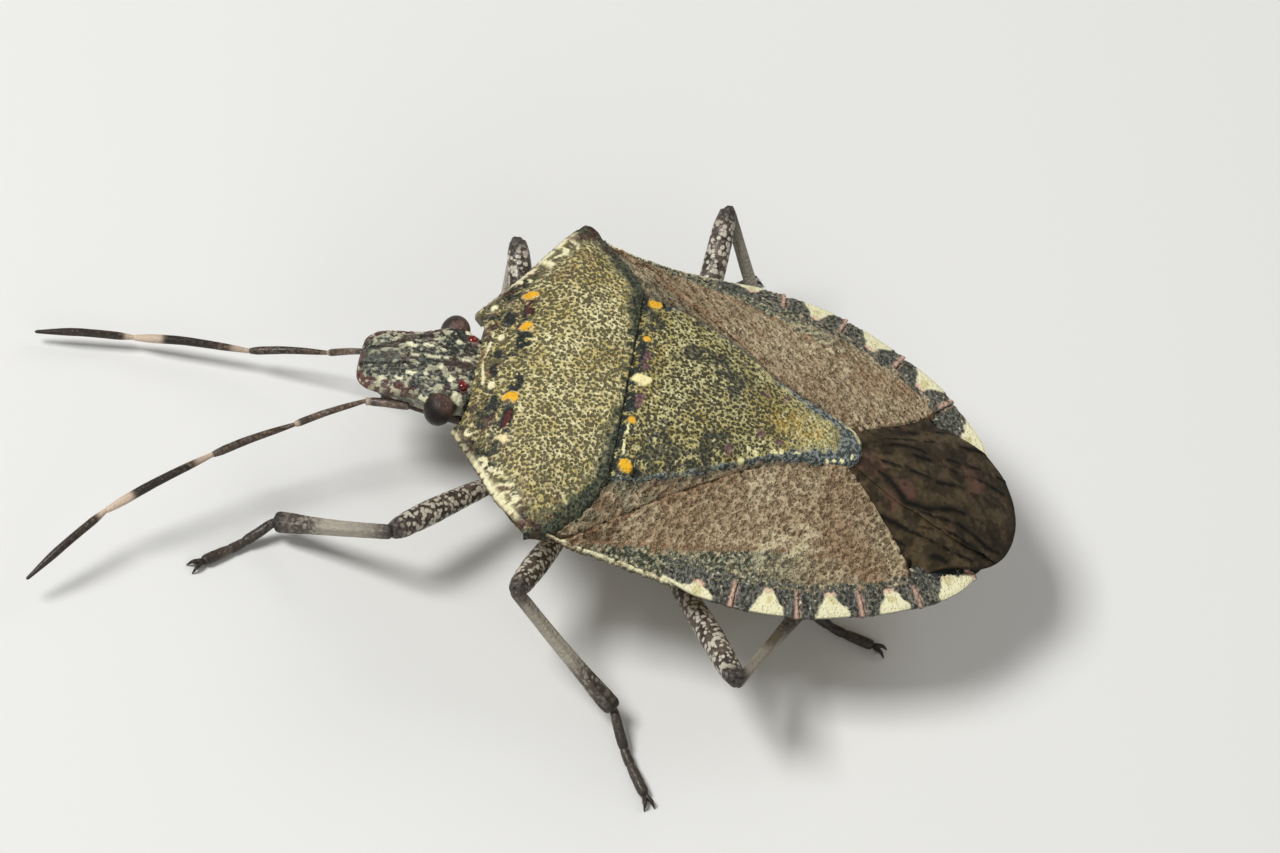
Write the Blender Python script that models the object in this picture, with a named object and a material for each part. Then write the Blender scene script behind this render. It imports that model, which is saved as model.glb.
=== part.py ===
"""Brown marmorated stink bug, a still life-size model standing on six feet.

Every size below is in millimetres. The body is described by x, across it with the animal's
left positive, by the station s, measured from the tip of the head towards the tail, and by
height z, which is 0 at the edge of the abdomen. The last step turns this into metres, with
the feet on z = 0 and the model centred over the origin.
"""
import math

import bmesh
import bpy
import numpy as np
from mathutils import Matrix, Vector

MM = 0.001                # one millimetre in the scene's metres
SEAM = 0.25               # free gap where one node meets the next
SEAM_HALF = SEAM / 2
JOINT_STEP = 0.01         # by which a limb is drawn back from a joint until it is clear
JOINT_LIMIT = 2.0
SHARP_ANGLE = math.radians(40)
NEARLY_UPRIGHT = 0.05     # length of a path's horizontal part that counts as none

# The whole body
MIDDLE = 7.5              # station of the body's middle, where the model's y is 0
FLOOR = -3.3              # height of the floor under the edge of the abdomen

# The back's outline and heights, as (station, value) pairs
HALF_WIDTH = ((2.22, 1.63), (3.2, 2.95), (4.22, 4.33), (4.75, 4.12), (6.0, 4.13), (7.4, 4.22),
              (8.9, 4.27), (10.2, 4.12), (11.3, 3.75), (12.66, 3.08), (13.82, 2.1), (14.35, 1.2),
              (14.6, 0.35))
MIDLINE_HEIGHT = ((2.3, 0.42), (3.2, 0.86), (4.4, 1.18), (5.7, 1.36), (7.2, 1.42), (9.0, 1.28),
                  (11.07, 0.94), (12.6, 0.5), (13.9, -0.06), (14.96, -0.56))
EDGE_HEIGHT = ((2.22, 0.0), (3.2, 0.25), (4.22, 0.7), (5.0, 0.46), (6.4, 0.24), (8.2, 0.13),
               (10.5, 0.05), (12.66, -0.07), (13.9, -0.25), (14.96, -0.6))
ROUNDNESS = ((2.3, 2.0), (5.7, 2.5), (9.0, 2.0), (11.0, 1.7), (12.7, 1.3), (14.9, 1.3))

OUTLINE_FRONT = 4.75      # where the outline behind the humeral angles starts
OUTLINE_POINTS = 160

# The underside, as (station, height) pairs
BELLY_MIDLINE = ((2.4, -1.25), (4.0, -1.4), (6.0, -1.5), (8.0, -1.9), (10.0, -2.08),
                 (12.0, -1.98), (13.4, -1.78), (14.6, -1.45))
BELLY_ROUNDNESS = 2.3
BELLY_EDGE_DROP = 0.24    # how far the belly's edge lies under the back's edge

# Head, with its outline and heights as (station, value) pairs
HEAD_REAR = 2.2
HEAD_HALF_WIDTH = ((0.0, 0.3), (0.06, 0.5), (0.2, 0.66), (0.45, 0.8), (0.8, 0.92), (1.2, 0.97),
                   (1.36, 0.82), (1.58, 0.69), (2.0, 0.69), (2.2, 0.76))
HEAD_TOP = ((0.0, -0.66), (0.12, -0.55), (0.5, -0.36), (1.0, -0.1), (1.5, 0.13), (2.2, 0.36))
HEAD_SIDE = ((0.0, -0.78), (0.6, -0.68), (1.2, -0.5), (2.2, -0.35))
HEAD_BOTTOM = ((0.0, -0.92), (0.3, -1.08), (0.9, -1.25), (2.2, -1.35))
HEAD_UPPER_POWERS = (0.8, 0.9)   # of the cosine and sine: a full, rounded upper side
HEAD_LOWER_POWERS = (2.0, 1.6)   # and a thin overhanging edge with a keel below
HEAD_SIDES = 28
HEAD_STATIONS = (0.0, 0.06, 0.14, 0.26, 0.42, 0.6, 0.8, 1.0, 1.18, 1.3, 1.42, 1.56, 1.7, 1.84,
                 1.92, 2.0, 2.08, HEAD_REAR)
CLYPEUS_HALF_WIDTH = 0.26
CLYPEUS_REAR = 1.6        # where the two grooves beside the clypeus end
GROOVE_DEPTH = 0.05
GROOVE_RADIUS = 0.09
OCELLUS_PLACE = (0.42, 2.0)
OCELLUS_RADIUS = 0.1
OCELLUS_HEIGHT = 0.07

# Eyes, two flattened globes beside the head
EYE_CENTRE = (1.18, 1.9, -0.05)
EYE_RADII = (0.36, 0.33, 0.38)
EYE_INNER_FACE = 0.97     # x of the flat face towards the head
EYE_SIDES = 12
EYE_RINGS = 9

# Rostrum, the folded beak: (station, height, radius) of its four segments' ends
ROSTRUM_ENDS = ((0.75, -1.68, 0.22), (2.0, -1.93, 0.24), (3.7, -1.98, 0.24), (5.2, -2.02, 0.22),
                (6.6, -2.06, 0.13))
ROSTRUM_RING_SHARES = (0.0, 0.12, 0.5, 0.88)  # along each segment
ROSTRUM_WAIST = 0.82      # share of the radius left between two segments
ROSTRUM_TIP = 0.6
ROSTRUM_SIDES = 8

# Pronotum, the shield behind the head
PRONOTUM_CORNER = (1.63, 2.22)
HUMERUS = (4.33, 4.22)
PRONOTUM_FRONT = ((0.0, 2.46), (0.95, 2.48), (1.35, 2.42), (1.63, 2.24))
PRONOTUM_REAR = ((0.0, 5.7), (2.5, 5.72), (2.97, 5.58), (3.4, 5.34), (3.86, 4.93), (4.2, 4.55),
                 (4.33, 4.22))
PRONOTUM_THICKNESS = (0.8, 0.4)    # at the midline and at the edge, as for the other plates
PRONOTUM_GRID = (25, 12)  # columns and rows
CALLUS_PLACES = ((0.98, 3.3), (2.0, 3.28))
CALLUS_RADIUS = 0.16
CALLUS_HEIGHT = 0.05

# Scutellum, the long triangle between the wings
SCUTELLUM_BASE = 5.72
SCUTELLUM_HALF_WIDTH = ((5.72, 2.55), (6.58, 2.31), (7.6, 1.86), (8.45, 1.38), (9.2, 0.98),
                        (10.2, 0.68), (10.75, 0.5), (11.0, 0.28), (11.07, 0.1))
SCUTELLUM_TIP = 11.07
SCUTELLUM_THICKNESS = (0.6, 0.5)
SCUTELLUM_CROWN = 0.04    # how far its middle stands over the back's own curve
SCUTELLUM_GRID = (11, 15)
SCUTELLUM_TIP_CROWDING = 1.25

# Fore wings: the leathery corium, then the thin membrane with its veins
CORIUM_FRONT_OUTER = 4.05
CORIUM_BEHIND_PRONOTUM = 0.42   # along the body, which leaves the seam across the slanted edge
CORIUM_REAR_INNER = (0.62, 10.86)
CORIUM_REAR_OUTER_STATION = 12.6
CORIUM_THICKNESS = (0.5, 0.45)
CORIUM_SUNK = 0.06        # how far the corium lies under the scutellum's surface
CORIUM_SUTURE = 0.26      # share of the width where the claval suture runs
CORIUM_VEIN = 0.62        # share of the width where the main vein runs
CORIUM_LINE_WIDTH = 0.06  # of both, as a share of the width
CORIUM_RELIEF = 0.05
CORIUM_ROWS = 14
MEMBRANE_BASE_CORNER = (2.12, 12.85)
MEMBRANE_BASE = ((0.0, 11.36), (0.4, 11.33), (0.8, 11.5), MEMBRANE_BASE_CORNER)
MEMBRANE_REAR_X = ((0.0, 0.0), (0.1, 0.27), (0.25, 0.65), (0.4, 1.0), (0.55, 1.27), (0.7, 1.46),
                   (0.82, 1.56), (0.9, 1.74), (1.0, 2.04))  # by the share of the base's width
MEMBRANE_REAR_STATION = ((0.0, 14.96), (0.1, 14.94), (0.25, 14.82), (0.4, 14.62), (0.55, 14.35),
                         (0.7, 14.0), (0.82, 13.64), (0.9, 13.3), (1.0, 12.97))
MEMBRANE_THICKNESS = 0.5
MEMBRANE_SUNK = 0.14
MEMBRANE_SEAM = ((0.0, 0.14), (0.35, 0.4), (0.7, 0.46), (1.0, 0.42))
MEMBRANE_RIGHT_VEINS = (0.1, 0.28, 0.46, 0.64, 0.82)
MEMBRANE_LEFT_VEINS = (0.22, 0.54, 0.86)
VEIN_HALF_WIDTH = 0.035   # as a share of the membrane's width
VEIN_HEIGHT = 0.08
CROSS_VEIN = 0.2          # share of the length where the cross vein lies, which the others leave
CROSS_VEIN_HALF_WIDTH = 0.05
MEMBRANE_ROWS = (0.0, CROSS_VEIN - CROSS_VEIN_HALF_WIDTH, CROSS_VEIN,
                 CROSS_VEIN + CROSS_VEIN_HALF_WIDTH, 0.34, 0.5, 0.66, 0.82, 0.93, 1.0)

# Abdomen and its rim, the connexivum
RIM_WIDTH = 0.5
RIM_START = 7.0           # station where the rim comes out from under the wing's edge
RIM_SPREAD = 1.2          # length over which it widens
COSTAL_MARGIN = 0.06      # what shows beside the wing ahead of that
RIM_FRONT = 7.6
RIM_REAR = 13.8
RIM_EDGE_THICKNESS = 0.2
RIM_SUNK = 0.16           # of its inner edge under the back's curve
RIM_STATIONS = 21
ABDOMEN_FRONT = 7.35
ABDOMEN_REAR = 14.1
ABDOMEN_UNDER_BACK = 0.88  # free depth from the back's surface to the abdomen's top
ABDOMEN_ROWS = 15
ABDOMEN_REAR_CROWDING = 1.3
THORAX_FRONT = 2.62
THORAX_REAR = ABDOMEN_FRONT - SEAM
THORAX_UNDER_BACK = 1.1
THORAX_EDGE_INSET = 0.95
THORAX_ROWS = 10
SECTION_COLUMNS = 11

TOE_HEIGHT = FLOOR + 0.18  # of the middle of the last tarsal segment

# Legs: the middle of the hip, knee, ankle and toe of each, as (x, station, height)
LEGS = {
    "fore_left": ((0.95, 3.95), (3.64, 1.55, -1.42), (3.2, -0.87, -2.78),
                  (4.44, -2.18, TOE_HEIGHT)),
    "mid_left": ((1.25, 5.6), (4.77, 4.39, -0.75), (5.75, 7.2, -2.72),
                 (7.41, 8.26, TOE_HEIGHT)),
    "hind_left": ((1.6, 7.3), (5.84, 9.42, -0.4), (1.75, 10.95, -2.78),
                  (2.05, 12.7, TOE_HEIGHT)),
    "fore_right": ((-0.95, 3.95), (-4.26, 2.85, -0.45), (-2.96, 3.15, -2.75),
                   (-2.46, 1.4, TOE_HEIGHT)),
    "mid_right": ((-1.25, 5.6), (-4.6, 4.5, -0.98), (-5.75, 7.2, -2.72),
                  (-6.95, 8.55, TOE_HEIGHT)),
    "hind_right": ((-1.6, 7.3), (-6.2, 7.3, 0.15), (-4.2, 9.57, -2.8),
                   (-4.6, 11.4, TOE_HEIGHT)),
}
HIP_DEPTH = 0.34          # from the coxa's flat top to the middle of the hip's bend
HIP_REACH = 0.18
HIP_TURN = 1.3            # length of the bend past its middle, as a multiple of HIP_DEPTH
HIP_RINGS = 6
FEMUR_RADII = ((0.0, 0.3), (0.12, 0.27), (0.3, 0.26), (0.6, 0.29), (0.9, 0.27), (1.0, 0.21))
TIBIA_RADII = ((0.0, 0.2), (0.1, 0.25), (0.5, 0.24), (0.9, 0.27), (1.0, 0.25))
TARSUS_RADII = ((0.0, 0.19), (0.12, 0.24), (0.34, 0.23), (0.4, 0.19), (0.47, 0.22),
                (0.6, 0.18), (0.68, 0.22), (0.92, 0.24), (1.0, 0.16))
FEMUR_RINGS = 14
TIBIA_RINGS = 7
LEG_SIDES = 10
TARSUS_SIDES = 8
TARSUS_SETTLING = (0.3, 0.6)  # shares of the length between which it comes down to the floor
CLAW_LENGTH = 0.42
CLAW_RADIUS = 0.09
CLAW_TIP_RADIUS = 0.04
CLAW_ROOT_DEPTH = 0.12    # of the claw's start inside the last segment
CLAW_ARCH = 0.06
CLAW_SPREAD = 0.3         # radians to each side
CLAW_SIDES = 5

# Antennae: the ends of the five segments, as (x, station, height)
ANTENNAE = {
    "left": ((0.84, 1.3, -1.42), (0.74, 0.3, -1.28), (1.71, -1.03, -1.2), (2.87, -2.59, -1.45),
             (4.66, -4.5, -1.95), (6.48, -5.78, -2.6)),
    "right": ((-0.8, 1.3, -1.3), (-0.76, 0.34, -1.42), (-1.08, -0.62, -2.1),
              (-0.98, -2.3, -2.65), (-0.7, -4.85, -2.9), (-0.2, -7.0, -2.95)),
}
ANTENNA_RADII = ((0.21, 0.25), (0.22, 0.25), (0.22, 0.26), (0.23, 0.26), (0.24, 0.14))
ANTENNA_SWELLING = 3      # times faster than the length that a segment reaches its full radius
ANTENNA_SIDES = 8
ANTENNA_RINGS = 5

# Finishes: base colour, roughness, metallic
FINISHES = {
    "head": ((0.11, 0.09, 0.065), 0.45, 0.1),
    "eye": ((0.035, 0.012, 0.012), 0.25, 0.0),
    "shield": ((0.17, 0.14, 0.05), 0.4, 0.2),
    "corium": ((0.16, 0.105, 0.07), 0.55, 0.0),
    "membrane": ((0.035, 0.024, 0.016), 0.35, 0.0),
    "rim": ((0.12, 0.12, 0.09), 0.45, 0.1),
    "underside": ((0.3, 0.25, 0.17), 0.55, 0.0),
    "leg": ((0.11, 0.08, 0.065), 0.5, 0.0),
    "antenna": ((0.06, 0.045, 0.035), 0.45, 0.0),
}


def smooth(knots):
    """Return a smooth function through a few (position, value) knots, without overshoot."""
    at, value = np.array(knots, dtype=float).T
    rise = np.diff(value) / np.diff(at)
    slope = np.empty_like(value)
    slope[0], slope[-1] = rise[0], rise[-1]
    product = rise[:-1] * rise[1:]
    total = rise[:-1] + rise[1:]
    slope[1:-1] = np.where(product > 0, 2 * product / np.where(total == 0, 1, total), 0)

    def curve(position):
        position = float(np.clip(position, at[0], at[-1]))
        left = int(np.clip(np.searchsorted(at, position) - 1, 0, len(at) - 2))
        run = at[left + 1] - at[left]
        t = (position - at[left]) / run
        return float((1 + 2 * t) * (1 - t) ** 2 * value[left] + t * (1 - t) ** 2 * run * slope[left]
                     + t * t * (3 - 2 * t) * value[left + 1] + t * t * (t - 1) * run * slope[left + 1])

    return curve


half_width = smooth(HALF_WIDTH)
midline_height = smooth(MIDLINE_HEIGHT)
edge_height = smooth(EDGE_HEIGHT)
roundness = smooth(ROUNDNESS)
belly_midline = smooth(BELLY_MIDLINE)
scutellum_half_width = smooth(SCUTELLUM_HALF_WIDTH)
pronotum_front = smooth(PRONOTUM_FRONT)
pronotum_rear = smooth(PRONOTUM_REAR)
head_half_width = smooth(HEAD_HALF_WIDTH)
head_top = smooth(HEAD_TOP)
head_side = smooth(HEAD_SIDE)
head_bottom = smooth(HEAD_BOTTOM)
femur_radius = smooth(FEMUR_RADII)
tibia_radius = smooth(TIBIA_RADII)


def blend(low, high, share):
    """Return the value a share of the way from low to high."""
    return low + (high - low) * share


def clamp(value):
    """Return a value held between 0 and 1."""
    return min(max(value, 0.0), 1.0)


def peak(distance, radius):
    """Return a smooth bump of height 1 at distance 0, which dies out past its radius."""
    return math.exp(-(distance / radius) ** 2)


def knob(x, s, place, radius):
    """Return the height at (x, s) of a bump of height 1 at a place on both sides of the midline."""
    return peak(math.hypot(abs(x) - place[0], s - place[1]), radius)


def back(x, s):
    """Return the height of the back's surface."""
    across = min(abs(x) / half_width(s), 1.0)
    return blend(midline_height(s), edge_height(s), across ** roundness(s))


def belly(x, s):
    """Return the height of the underside of the thorax and abdomen."""
    across = min(abs(x) / half_width(s), 1.0)
    edge = edge_height(s) - BELLY_EDGE_DROP
    return blend(belly_midline(s), edge, across ** BELLY_ROUNDNESS)


def rim_width(s):
    """Return how wide the abdomen's rim shows beside the wing; it starts narrow."""
    return blend(COSTAL_MARGIN, RIM_WIDTH, clamp((s - RIM_START) / RIM_SPREAD))


def outline(offset):
    """Return the body's left outline, in by the rim's width and an offset, as points."""
    stations = np.linspace(OUTLINE_FRONT, HALF_WIDTH[-1][0], OUTLINE_POINTS)
    edge = np.array([(half_width(s), s) for s in stations])
    along = np.gradient(edge, axis=0)
    along /= np.linalg.norm(along, axis=1)[:, None]
    inwards = np.column_stack((-along[:, 1], along[:, 0]))
    inset = np.array([max(rim_width(s) + offset, 0.0) for s in stations])
    return edge + inwards * inset[:, None]


def inner_half_width(offset):
    """Return the half width inside the rim, as a function of the station."""
    points = outline(offset)

    def width(s):
        return float(np.interp(s, points[:, 1], points[:, 0]))

    return width


def finish_material(finish):
    """Return the Principled material of a finish, made on its first use."""
    material = bpy.data.materials.get(finish)
    if material:
        return material
    colour, roughness_value, metallic = FINISHES[finish]
    material = bpy.data.materials.new(finish)
    material.use_nodes = True
    shader = material.node_tree.nodes["Principled BSDF"]
    shader.inputs["Base Color"].default_value = (*colour, 1.0)
    shader.inputs["Roughness"].default_value = roughness_value
    shader.inputs["Metallic"].default_value = metallic
    return material


def to_scene(point):
    """Turn (x, station, height) in millimetres into the scene's metres."""
    x, s, z = point
    return Vector((x * MM, (s - MIDDLE) * MM, z * MM))


def add_node(name, bm, finish, root):
    """Finish a closed mesh as a named object of the model and return it."""
    bmesh.ops.triangulate(bm, faces=[face for face in bm.faces if len(face.verts) > 3])
    bmesh.ops.recalc_face_normals(bm, faces=bm.faces[:])
    mesh = bpy.data.meshes.new(name)
    bm.to_mesh(mesh)
    bm.free()
    mesh.materials.append(finish_material(finish))
    mesh.shade_smooth()
    mesh.set_sharp_from_angle(angle=SHARP_ANGLE)
    node = bpy.data.objects.new(name, mesh)
    bpy.context.scene.collection.objects.link(node)
    node.parent = root
    return node


def plate(name, columns, rows, place, top, thickness, finish, root):
    """Add a plate: a sheet of cells placed by (column, row), given a thickness downwards."""
    bm = bmesh.new()
    depth = bm.verts.layers.float.new("depth")
    sheet = []
    for v in rows:
        line = []
        for u in columns:
            x, s = place(u, v)
            vert = bm.verts.new(to_scene((x, s, top(x, s, u, v))))
            vert[depth] = thickness(x, s) * MM
            line.append(vert)
        sheet.append(line)
    for lower, upper in zip(sheet[:-1], sheet[1:]):
        for a, b, c, d in zip(lower[:-1], lower[1:], upper[1:], upper[:-1]):
            bm.faces.new((a, b, c))
            bm.faces.new((a, c, d))
    made = bmesh.ops.extrude_face_region(bm, geom=bm.faces[:], use_keep_orig=True)
    for item in made["geom"]:
        if isinstance(item, bmesh.types.BMVert):
            item.co.z -= item[depth]
    bm.verts.layers.float.remove(depth)
    return add_node(name, bm, finish, root)


def loft(name, rings, finish, root):
    """Add a closed body through rings of (x, station, height) points, capped at both ends."""
    bm = bmesh.new()
    add_loft(bm, rings)
    return add_node(name, bm, finish, root)


def add_loft(bm, rings):
    """Add the faces of a closed loft to a mesh."""
    loops = [[bm.verts.new(to_scene(point)) for point in ring] for ring in rings]
    for lower, upper in zip(loops[:-1], loops[1:]):
        for i in range(len(lower)):
            j = (i + 1) % len(lower)
            bm.faces.new((lower[i], lower[j], upper[j], upper[i]))
    bm.faces.new(loops[0][::-1])
    bm.faces.new(loops[-1])


def tube_rings(path, radii, sides):
    """Return the rings of a tube along a path, turned as little as possible along it."""
    points = [Vector(point) for point in path]
    tangents = [(points[min(i + 1, len(points) - 1)] - points[max(i - 1, 0)]).normalized()
                for i in range(len(points))]
    side = tangents[0].cross(Vector((0, 0, 1)))
    if side.length < NEARLY_UPRIGHT:
        side = tangents[0].cross(Vector((0, 1, 0)))
    rings = []
    for point, tangent, radius in zip(points, tangents, radii):
        side = (side - tangent * side.dot(tangent)).normalized()
        other = tangent.cross(side)
        angles = [2 * math.pi * (i + 0.5) / sides for i in range(sides)]
        rings.append([point + (side * math.cos(a) + other * math.sin(a)) * radius for a in angles])
    return rings


def straight(start, end, shares):
    """Return the points at the given shares of the way from start to end."""
    return [Vector(start).lerp(Vector(end), share) for share in shares]


def shares_of(count):
    """Return evenly spread shares from 0 to 1."""
    return [i / (count - 1) for i in range(count)]


def joint_gap(before, joint, after, radius_before, radius_after):
    """Return how far past a joint the next limb starts, clear of the one before by the seam."""
    before, joint, after = Vector(before), Vector(joint), Vector(after)
    back_along = (before - joint).normalized()
    ahead = (after - joint).normalized()
    side = (back_along - ahead * back_along.dot(ahead)).normalized()
    gap = SEAM
    while True:
        corner = joint + ahead * gap + side * radius_after
        along = max((corner - joint).dot(back_along), 0.0)
        reach = (corner - joint - back_along * along).length
        if reach >= radius_before + SEAM or gap > JOINT_LIMIT:
            return gap
        gap += JOINT_STEP


def head_section(s):
    """Return one ring of the head, with the clypeus grooves and the ocelli."""
    groove_fade = clamp(CLYPEUS_REAR - s)
    ring = []
    for i in range(HEAD_SIDES):
        angle = 2 * math.pi * i / HEAD_SIDES
        over = math.sin(angle) >= 0
        x_power, z_power = HEAD_UPPER_POWERS if over else HEAD_LOWER_POWERS
        across = abs(math.cos(angle)) ** x_power
        x = head_half_width(s) * math.copysign(across, math.cos(angle))
        limit = head_top(s) if over else head_bottom(s)
        z = blend(head_side(s), limit, abs(math.sin(angle)) ** z_power)
        if over:
            z += OCELLUS_HEIGHT * knob(x, s, OCELLUS_PLACE, OCELLUS_RADIUS)
            z -= GROOVE_DEPTH * peak(abs(x) - CLYPEUS_HALF_WIDTH, GROOVE_RADIUS) * groove_fade
        ring.append((x, s, z))
    return ring


def build_head(root):
    """Add the head, from its rounded front edge to the neck."""
    loft("head", [head_section(s) for s in HEAD_STATIONS], "head", root)


def build_eye(side_name, sign, root):
    """Add an eye: a globe with a flat face towards the head."""
    bm = bmesh.new()
    bmesh.ops.create_uvsphere(bm, u_segments=EYE_SIDES, v_segments=EYE_RINGS, radius=1.0)
    centre = to_scene((sign * EYE_CENTRE[0], EYE_CENTRE[1], EYE_CENTRE[2]))
    for vert in bm.verts:
        vert.co = centre + Vector([c * r * MM for c, r in zip(vert.co, EYE_RADII)])
    cut = bmesh.ops.bisect_plane(bm, geom=bm.verts[:] + bm.edges[:] + bm.faces[:], dist=1e-7,
                                 plane_co=(sign * EYE_INNER_FACE * MM, 0, 0),
                                 plane_no=(-sign, 0, 0), clear_outer=True)
    rim = [item for item in cut["geom_cut"] if isinstance(item, bmesh.types.BMEdge)]
    bmesh.ops.edgeloop_fill(bm, edges=rim)
    add_node(f"eye_{side_name}", bm, "eye", root)


def build_rostrum(root):
    """Add the beak, folded back under the head and thorax, waisted between its segments."""
    path, radii = [], []
    for start, end in zip(ROSTRUM_ENDS[:-1], ROSTRUM_ENDS[1:]):
        for share in ROSTRUM_RING_SHARES:
            s, z, radius = (blend(a, b, share) for a, b in zip(start, end))
            path.append((0.0, s, z))
            radii.append(radius * (ROSTRUM_WAIST if share == 0.0 else 1.0))
    path.append((0.0, *ROSTRUM_ENDS[-1][:2]))
    radii.append(ROSTRUM_ENDS[-1][2] * ROSTRUM_TIP)
    loft("rostrum", tube_rings(path, radii, ROSTRUM_SIDES), "underside", root)


def plate_thickness(sizes):
    """Return a plate's thickness, which runs from the midline's to the edge's."""
    middle, edge = sizes

    def thickness(x, s):
        return blend(middle, edge, min(abs(x) / half_width(s), 1.0) ** 2)

    return thickness


def build_pronotum(root):
    """Add the pronotum, between its notched front and its humeral angles."""
    def place(u, v):
        front = (PRONOTUM_CORNER[0] * u, pronotum_front(abs(u) * PRONOTUM_CORNER[0]))
        rear = (HUMERUS[0] * u, pronotum_rear(abs(u) * HUMERUS[0]))
        return blend(front[0], rear[0], v), blend(front[1], rear[1], v)

    def top(x, s, u, v):
        calli = sum(knob(x, s, spot, CALLUS_RADIUS) for spot in CALLUS_PLACES)
        return back(x, s) + CALLUS_HEIGHT * calli

    columns = np.linspace(-1, 1, PRONOTUM_GRID[0])
    rows = np.linspace(0, 1, PRONOTUM_GRID[1])
    plate("pronotum", columns, rows, place, top, plate_thickness(PRONOTUM_THICKNESS),
          "shield", root)


def build_scutellum(root):
    """Add the scutellum, from the pronotum's rear edge to its rounded tip."""
    def place(u, v):
        s = blend(SCUTELLUM_BASE + SEAM, SCUTELLUM_TIP, v)
        return scutellum_half_width(s) * u, s

    def top(x, s, u, v):
        return back(x, s) + SCUTELLUM_CROWN * (1 - u * u)

    columns = np.linspace(-1, 1, SCUTELLUM_GRID[0])
    rows = [1 - (1 - v) ** SCUTELLUM_TIP_CROWDING for v in np.linspace(0, 1, SCUTELLUM_GRID[1])]
    plate("scutellum", columns, rows, place, top, plate_thickness(SCUTELLUM_THICKNESS),
          "shield", root)


def build_corium(side_name, sign, root):
    """Add the leathery part of a fore wing, beside the scutellum."""
    outer_edge = inner_half_width(SEAM_HALF)
    front_inner = scutellum_half_width(SCUTELLUM_BASE) + SEAM
    front_outer = CORIUM_FRONT_OUTER

    def front_station(x):
        return pronotum_rear(x) + CORIUM_BEHIND_PRONOTUM

    def place(u, v):
        inner_s = blend(front_station(front_inner), CORIUM_REAR_INNER[1], v)
        outer_s = blend(front_station(front_outer), CORIUM_REAR_OUTER_STATION, v)
        inner_x = max(scutellum_half_width(inner_s) + SEAM, CORIUM_REAR_INNER[0])
        x, s = blend(inner_x, outer_edge(outer_s), u), blend(inner_s, outer_s, u)
        straight_front = blend(front_station(front_inner), front_station(front_outer), u)
        follow = front_station(blend(front_inner, front_outer, u)) - straight_front
        return sign * x, s + follow * (1 - v)

    def top(x, s, u, v):
        suture = peak(u - CORIUM_SUTURE, CORIUM_LINE_WIDTH)
        vein = peak(u - CORIUM_VEIN, CORIUM_LINE_WIDTH) * clamp(4 * (1 - v))
        return back(x, s) - CORIUM_SUNK + CORIUM_RELIEF * (vein - suture)

    lines = (CORIUM_SUTURE, CORIUM_VEIN)
    columns = sorted({0.0, CORIUM_SUTURE / 2, sum(lines) / 2, (1 + CORIUM_VEIN) / 2, 1.0,
                      *(line + step for line in lines
                        for step in (-CORIUM_LINE_WIDTH, 0.0, CORIUM_LINE_WIDTH))})
    rows = np.linspace(0, 1, CORIUM_ROWS)
    plate(f"corium_{side_name}", columns, rows, place, top, plate_thickness(CORIUM_THICKNESS),
          "corium", root)


def build_membrane(side_name, veins, root):
    """Add one wing's membrane with its veins raised; the right one covers most of the left."""
    base, seam = smooth(MEMBRANE_BASE), smooth(MEMBRANE_SEAM)
    rear_x, rear_station = smooth(MEMBRANE_REAR_X), smooth(MEMBRANE_REAR_STATION)
    right = side_name == "right"

    def place(u, v):
        meeting = seam(v)
        across = blend(-1.0, meeting, u) if right else blend(meeting, 1.0, u)
        clear = -SEAM_HALF * u if right else SEAM_HALF * (1 - u)
        front = (MEMBRANE_BASE_CORNER[0] * across, base(abs(across) * MEMBRANE_BASE_CORNER[0]))
        rear = (math.copysign(rear_x(abs(across)), across), rear_station(abs(across)))
        return blend(front[0], rear[0], v) + clear, blend(front[1], rear[1], v)

    def top(x, s, u, v):
        ridge = max(peak(u - vein, VEIN_HALF_WIDTH / 2) for vein in veins)
        ridge *= clamp((v - CROSS_VEIN) / CROSS_VEIN_HALF_WIDTH)
        cross_ridge = peak(v - CROSS_VEIN, CROSS_VEIN_HALF_WIDTH / 2)
        return back(x, s) - MEMBRANE_SUNK + VEIN_HEIGHT * max(ridge, cross_ridge)

    columns = sorted({0.0, 1.0, *(round(vein + step, 4) for vein in veins
                                  for step in (-VEIN_HALF_WIDTH, 0.0, VEIN_HALF_WIDTH))})
    plate(f"membrane_{side_name}", columns, MEMBRANE_ROWS, place, top,
          lambda x, s: MEMBRANE_THICKNESS, "membrane", root)


def trunk_ring(s, half, under_back):
    """Return a ring of the trunk: its top follows the back and its bottom is the belly."""
    xs = np.linspace(-half, half, SECTION_COLUMNS)
    over = [(x, s, back(x, s) - under_back) for x in xs]
    under = [(x, s, belly(x, s)) for x in xs[::-1]]
    return over + under


def build_abdomen(root):
    """Add the abdomen inside its rim, under the wings."""
    width = inner_half_width(SEAM_HALF)
    stations = [blend(ABDOMEN_FRONT, ABDOMEN_REAR, 1 - (1 - v) ** ABDOMEN_REAR_CROWDING)
                for v in np.linspace(0, 1, ABDOMEN_ROWS)]
    rings = [trunk_ring(s, width(s), ABDOMEN_UNDER_BACK) for s in stations]
    loft("abdomen", rings, "underside", root)


def build_thorax(root):
    """Add the underside of the thorax, which carries the legs."""
    stations = np.linspace(THORAX_FRONT, THORAX_REAR, THORAX_ROWS)
    rings = [trunk_ring(s, half_width(s) - THORAX_EDGE_INSET, THORAX_UNDER_BACK)
             for s in stations]
    loft("thorax", rings, "underside", root)


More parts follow.
